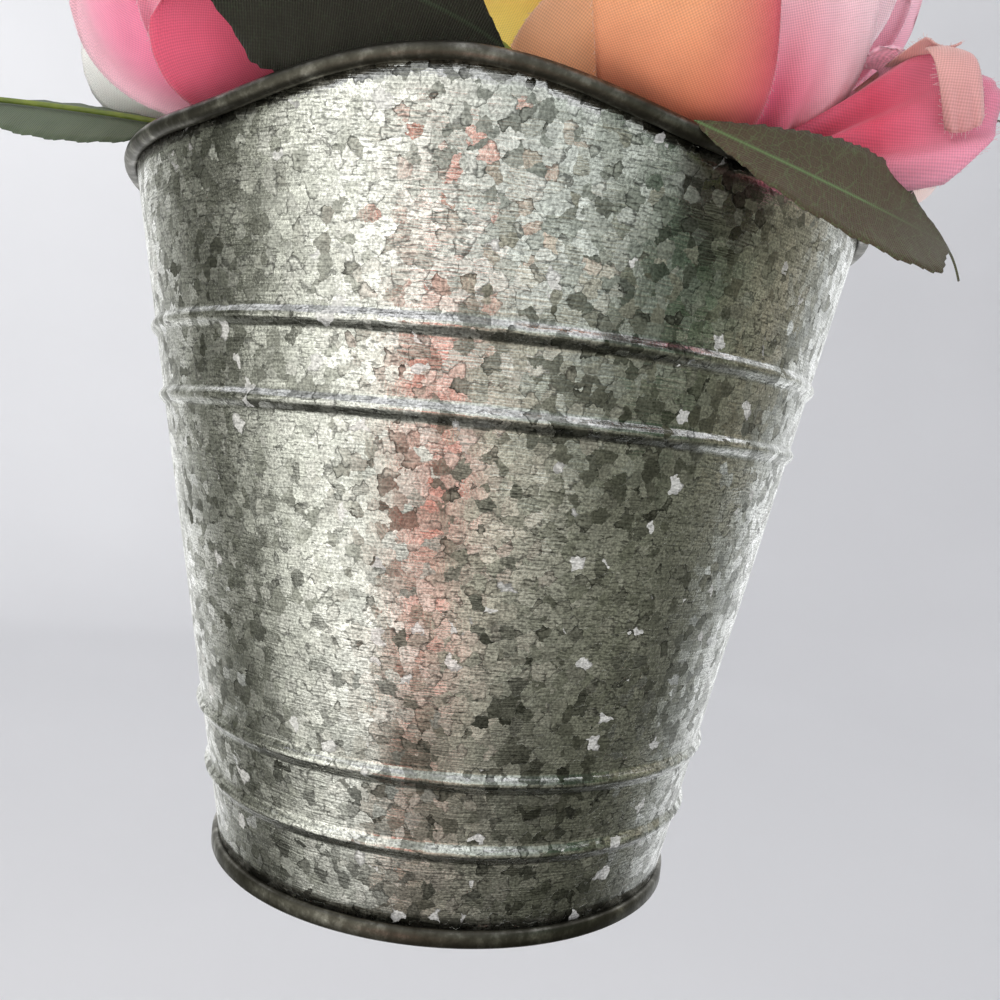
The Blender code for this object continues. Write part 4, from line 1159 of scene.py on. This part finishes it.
# %% Material: moulded polyethylene of stems and midribs
def moulded(name, colour, colour_2):
    """Soft plastic with faint flow marks; it gives a waxy, slightly uneven gloss."""
    material, tree, shader, coords = new_material(name)
    flow = put(tree, "ShaderNodeTexNoise",
               {"Vector": coords.outputs["Object"], "Scale": 1 / (3 * MM), "Detail": 3.0})
    tint = put(tree, "ShaderNodeValToRGB", [flow.outputs["Fac"]],
               stops=[(0.35, linear(colour)), (0.65, linear(colour_2))])
    tree.links.new(tint.outputs[0], shader.inputs["Base Color"])
    gloss = put(tree, "ShaderNodeMapRange", [flow.outputs["Fac"], 0.3, 0.7, 0.42, 0.58])
    tree.links.new(gloss.outputs[0], shader.inputs["Roughness"])
    relief = put(tree, "ShaderNodeBump",
                 {"Height": flow.outputs["Fac"], "Distance": 0.08 * MM, "Strength": 0.7})
    tree.links.new(relief.outputs[0], shader.inputs["Normal"])
    return material


stem_plastic = moulded("moulded_stem_plastic", "#4c7a35", "#639248")
calyx_plastic = moulded("moulded_calyx_plastic", "#4a7434", "#5f8a45")
wire_plastic = moulded("midrib_plastic", "#5f6f2a", "#788636")

# %% Where the leaves go
# wire's foot, start, bend and tip (mm), width (mm), roll (degrees), fullest place, side
LEAVES = {
    "leaf_right": ((26, -40), (37, -70, 144.5), (68, -76, 130.5), (86.5, -47, 133), 22, 60, 0.56,
                   "olive"),
    "leaf_left": ((-40, -10), (-71, -19, 154), (-98, -22, 156), (-129.5, -30, 153.5), 28, 148, 0.38,
                  "pale"),
    "leaf_front": ((-6, -34), (7, -72, 153), (-16, -82, 164), (-54, -76, 161), 31, -120, 0.6,
                   "dark"),
    "leaf_far_right": ((50, 12), (64, 25, 156), (86, 31, 180), (122, 22, 185), 26, 0, 0.4, "olive"),
    "leaf_rear_left": ((-30, 24), (-30, 29, 155), (-42, 35, 192), (-72, 32, 212), 28, -62, 0.4,
                       "olive"),
    "leaf_rear_right": ((20, 31), (53, 30, 156), (69, 35.5, 189), (92, 31.5, 209), 24, 64, 0.4,
                        "olive"),
    "leaf_rear_side": ((-44, 22), (-60, 29, 156), (-82, 34, 174), (-110, 28, 177), 20, -20, 0.4,
                       "olive"),
    "leaf_mid_left": ((-22, -8), (-37, -5, 162), (-52, -9, 196), (-72, -16, 220), 22, 30, 0.4,
                      "dark"),
    "leaf_mid_right": ((30, -14), (33, -17, 162), (40, -21, 200), (56, -38, 224), 20, -30, 0.4,
                       "dark"),
    "leaf_rear_top": ((4, 24), (4, 24, 160), (2, 29, 200), (-2, 37.5, 234), 30, 0, 0.4, "olive")}
TOOTH_SPACING = 2.4 * MM
TOOTH_DEPTH = 0.55 * MM
TIP_DROOP = 4.5 * MM
LEAF_SHEET = 0.35 * MM
LEAF_ROWS, LEAF_COLUMNS = 120, 13
WIRE_RADIUS = 0.6 * MM
WIRE_INTO_FOAM = 0.018

# %% Blades
def blade(start, bend, tip, width, roll, full, rows=LEAF_ROWS, columns=LEAF_COLUMNS):
    """A saw-toothed leaf, widest at full, drawn out to a point: points, UV and the midline."""
    share = np.linspace(0, 1, rows)
    middle, along = bezier((start, bend, tip), share)
    middle[:, 2] -= TIP_DROOP * np.clip((share - 0.82) / 0.18, 0, 1) ** 2
    across = unit(np.cross(along, (0, 0, 1)))
    turn = math.radians(roll)
    across = across * math.cos(turn) + np.cross(along, across) * math.sin(turn)
    up = np.cross(across, along)
    length = np.sum(np.linalg.norm(np.diff(middle, axis=0), axis=1))
    half = 0.5 * width * np.sin(np.pi * share ** (math.log(0.5) / math.log(full)))
    half *= 1 - 0.85 * np.clip((share - 0.70) / 0.22, 0, 1)         # drawn out at the tip
    half = np.where(share < full, half ** 0.75 * (0.5 * width) ** 0.25,
                    half ** 1.25 / (0.5 * width) ** 0.25)
    saw = (share * length / TOOTH_SPACING) % 1.0
    half = np.maximum(half + TOOTH_DEPTH * (saw - 0.5) * np.clip(half / (0.2 * width), 0, 1),
                      0.12 * MM)
    u = np.linspace(-1, 1, columns)[None, :, None]
    half, across, up = half[:, None, None], across[:, None], up[:, None]
    ripple = 0.15 * MM * np.sin(2 * np.pi * share * length / (7 * MM))
    ripple = ripple[:, None, None] * np.abs(u) ** 1.5
    lift = up * (0.12 * half * u ** 2 + ripple * np.clip(half / (0.3 * width), 0, 1))
    points = middle[:, None] + across * half * u + lift
    uv = np.concatenate([half * u + 0 * points[..., :1],
                         (share * length)[:, None, None] + 0 * points[..., :1]], axis=2)
    return points.reshape(-1, 3), uv.reshape(-1, 2), middle, up[:, 0]


for name, (root, start, bend, tip, width, roll, full, side) in LEAVES.items():
    start, bend, tip = (np.array(p) * MM for p in (start, bend, tip))
    points, uv, middle, up = blade(start, bend, tip, width * MM, roll, full)
    points[:, 1] = np.minimum(points[:, 1], BEFORE_THE_WALL)
    leaf = make_piece(name + "_blade", points, grid_faces(LEAF_ROWS, LEAF_COLUMNS), LEAF_TOPS[side],
                      uv=uv)
    thicken(leaf, "cloth", LEAF_SHEET)
    stands_for(leaf, name)

    low = np.array((root[0] * MM, root[1] * MM, FOAM_TOP - WIRE_INTO_FOAM))
    out_of_foam = low + 0.25 * np.array((start[0] - low[0], start[1] - low[1], 0))
    out_of_foam[2] = FOAM_TOP + 0.004
    under = WIRE_RADIUS + 0.5 * LEAF_SHEET + GAP
    first = start - up[0] * under
    rise, _ = bezier((out_of_foam, first - unit(middle[1] - middle[0]) * 0.010, first),
                     np.linspace(0, 1, 14))
    route = [low, *rise[:-1], *(middle[:78:5] - up[:78:5] * under)]
    wire = rods(name + "_midrib", [route], WIRE_RADIUS, 8, wire_plastic)
    stands_for(wire, name + "_wire")

# %% [markdown]
# ## Stems, calyxes and foam
# Under each rose sits a moulded calyx: a small cup with five pointed sepals that lie against
# the petals. The stem is a wire covered in green plastic; its end is pushed 45 mm into the
# block of floral foam. The calyx cup is a short outline turned round the rose's axis; each
# sepal is made like a petal, only small and pointed. The foam keeps its solid shape and gets
# the fine open cells of phenolic foam, cut by hand with a knife.

# %% Stems, calyx cups and sepals
STEM_RADIUS = 0.0020
CALYX_DEPTH = 0.0060
SOCKET_DEPTH = 0.045
CUP_STEPS = 20                      # steps round a calyx cup
SEPAL_THICK = 0.5 * MM
SEPAL_ROWS, SEPAL_COLUMNS = 16, 9
SEPAL_LINE = ((0.14, 0.01), (0.36, 0.00), (0.58, 0.06), (0.74, 0.16))     # out and up, in radii
for rose, (middle, compass, lean, radius, *_) in ROSES.items():
    foot, axis, downhill, beside = rose_frame(middle, compass, lean, radius)
    stem_top = foot - axis * (CALYX_DEPTH + GAP)
    root = np.array((stem_top[0] * 0.62, stem_top[1] * 0.62, FOAM_TOP - SOCKET_DEPTH))
    foam_out = root + 1.02 * (np.array((stem_top[0] * 0.78, stem_top[1] * 0.78, FOAM_TOP)) - root)
    rise, _ = bezier((foam_out, stem_top - axis * 0.010, stem_top), np.linspace(0, 1, 18))
    stem = rods(rose + "_covered_stem", [[root, *rise]], STEM_RADIUS, 12, stem_plastic)
    stands_for(stem, rose + "_stem")

    cup_line = [(0.0021, -0.0060), (0.0029, -0.0057), (0.0042, -0.0046), (0.0056, -0.0026),
                (0.0062, -0.0004), (0.0060, 0.05 * radius), (0.0050, 0.10 * radius)]
    points, last = [], len(cup_line)
    for out_by, up_by in cup_line:
        for angle in np.linspace(0, 2 * math.pi, CUP_STEPS, endpoint=False):
            ridge = out_by * (1 + 0.06 * math.cos(5 * angle))
            out_way = downhill * math.cos(angle) + beside * math.sin(angle)
            points.append(foot + ridge * out_way + axis * up_by)
    faces = grid_faces(last, CUP_STEPS, ring=True)
    for ring_start, ring_up in ((0, cup_line[0][1]), (CUP_STEPS * (last - 1), cup_line[-1][1])):
        faces += [(len(points), ring_start + k, ring_start + (k + 1) % CUP_STEPS)
                  for k in range(CUP_STEPS)]
        points.append(foot + axis * ring_up)
    cup = make_piece(rose + "_calyx_cup", points, faces, calyx_plastic)
    face_outward(cup)
    stands_for(cup, rose + "_calyx")

    points, faces = [], []
    for k in range(5):
        angle = math.radians(36 + 72 * k)
        out_way = downhill * math.cos(angle) + beside * math.sin(angle)
        line = [foot + out_way * o * radius + axis * u * radius for o, u in SEPAL_LINE]
        place, *_ = petal(line, np.cross(axis, out_way), 0.17 * radius, cup=0.5, foot=0.55,
                          full=0.35, top=0.75, rows=SEPAL_ROWS, columns=SEPAL_COLUMNS)
        faces += grid_faces(SEPAL_ROWS, SEPAL_COLUMNS, first=len(points))
        points += list(place)
    sepals = make_piece(rose + "_sepals", points, faces, calyx_plastic)
    thicken(sepals, "moulding", SEPAL_THICK)
    stands_for(sepals, rose + "_calyx")

# %% Foam keeps its shape: phenolic floral foam, open-celled and dusty
foam, tree, shader, coords = new_material("floral_foam")
cells = put(tree, "ShaderNodeTexVoronoi",
            {"Vector": coords.outputs["Object"], "Scale": 1 / (0.9 * MM)})
crumble = put(tree, "ShaderNodeTexNoise",
              {"Vector": coords.outputs["Object"], "Scale": 1 / (6 * MM), "Detail": 4.0})
mixed = put(tree, "ShaderNodeMath", [cells.outputs["Distance"], 0.5, crumble.outputs["Fac"]],
            operation="MULTIPLY_ADD")
tint = put(tree, "ShaderNodeValToRGB", [mixed],
           stops=[(0.45, linear("#3f6a4a")), (0.95, linear("#6d9a72"))])
tree.links.new(tint.outputs[0], shader.inputs["Base Color"])
shader.inputs["Roughness"].default_value = 0.95
relief = put(tree, "ShaderNodeBump",
             {"Height": cells.outputs["Distance"], "Distance": 0.5 * MM, "Strength": 0.8})
tree.links.new(relief.outputs[0], shader.inputs["Normal"])
for slot in bpy.data.objects["foam_block"].material_slots:
    slot.material = foam
print("6 stems, calyx cups and sets of sepals; foam keeps its shape")
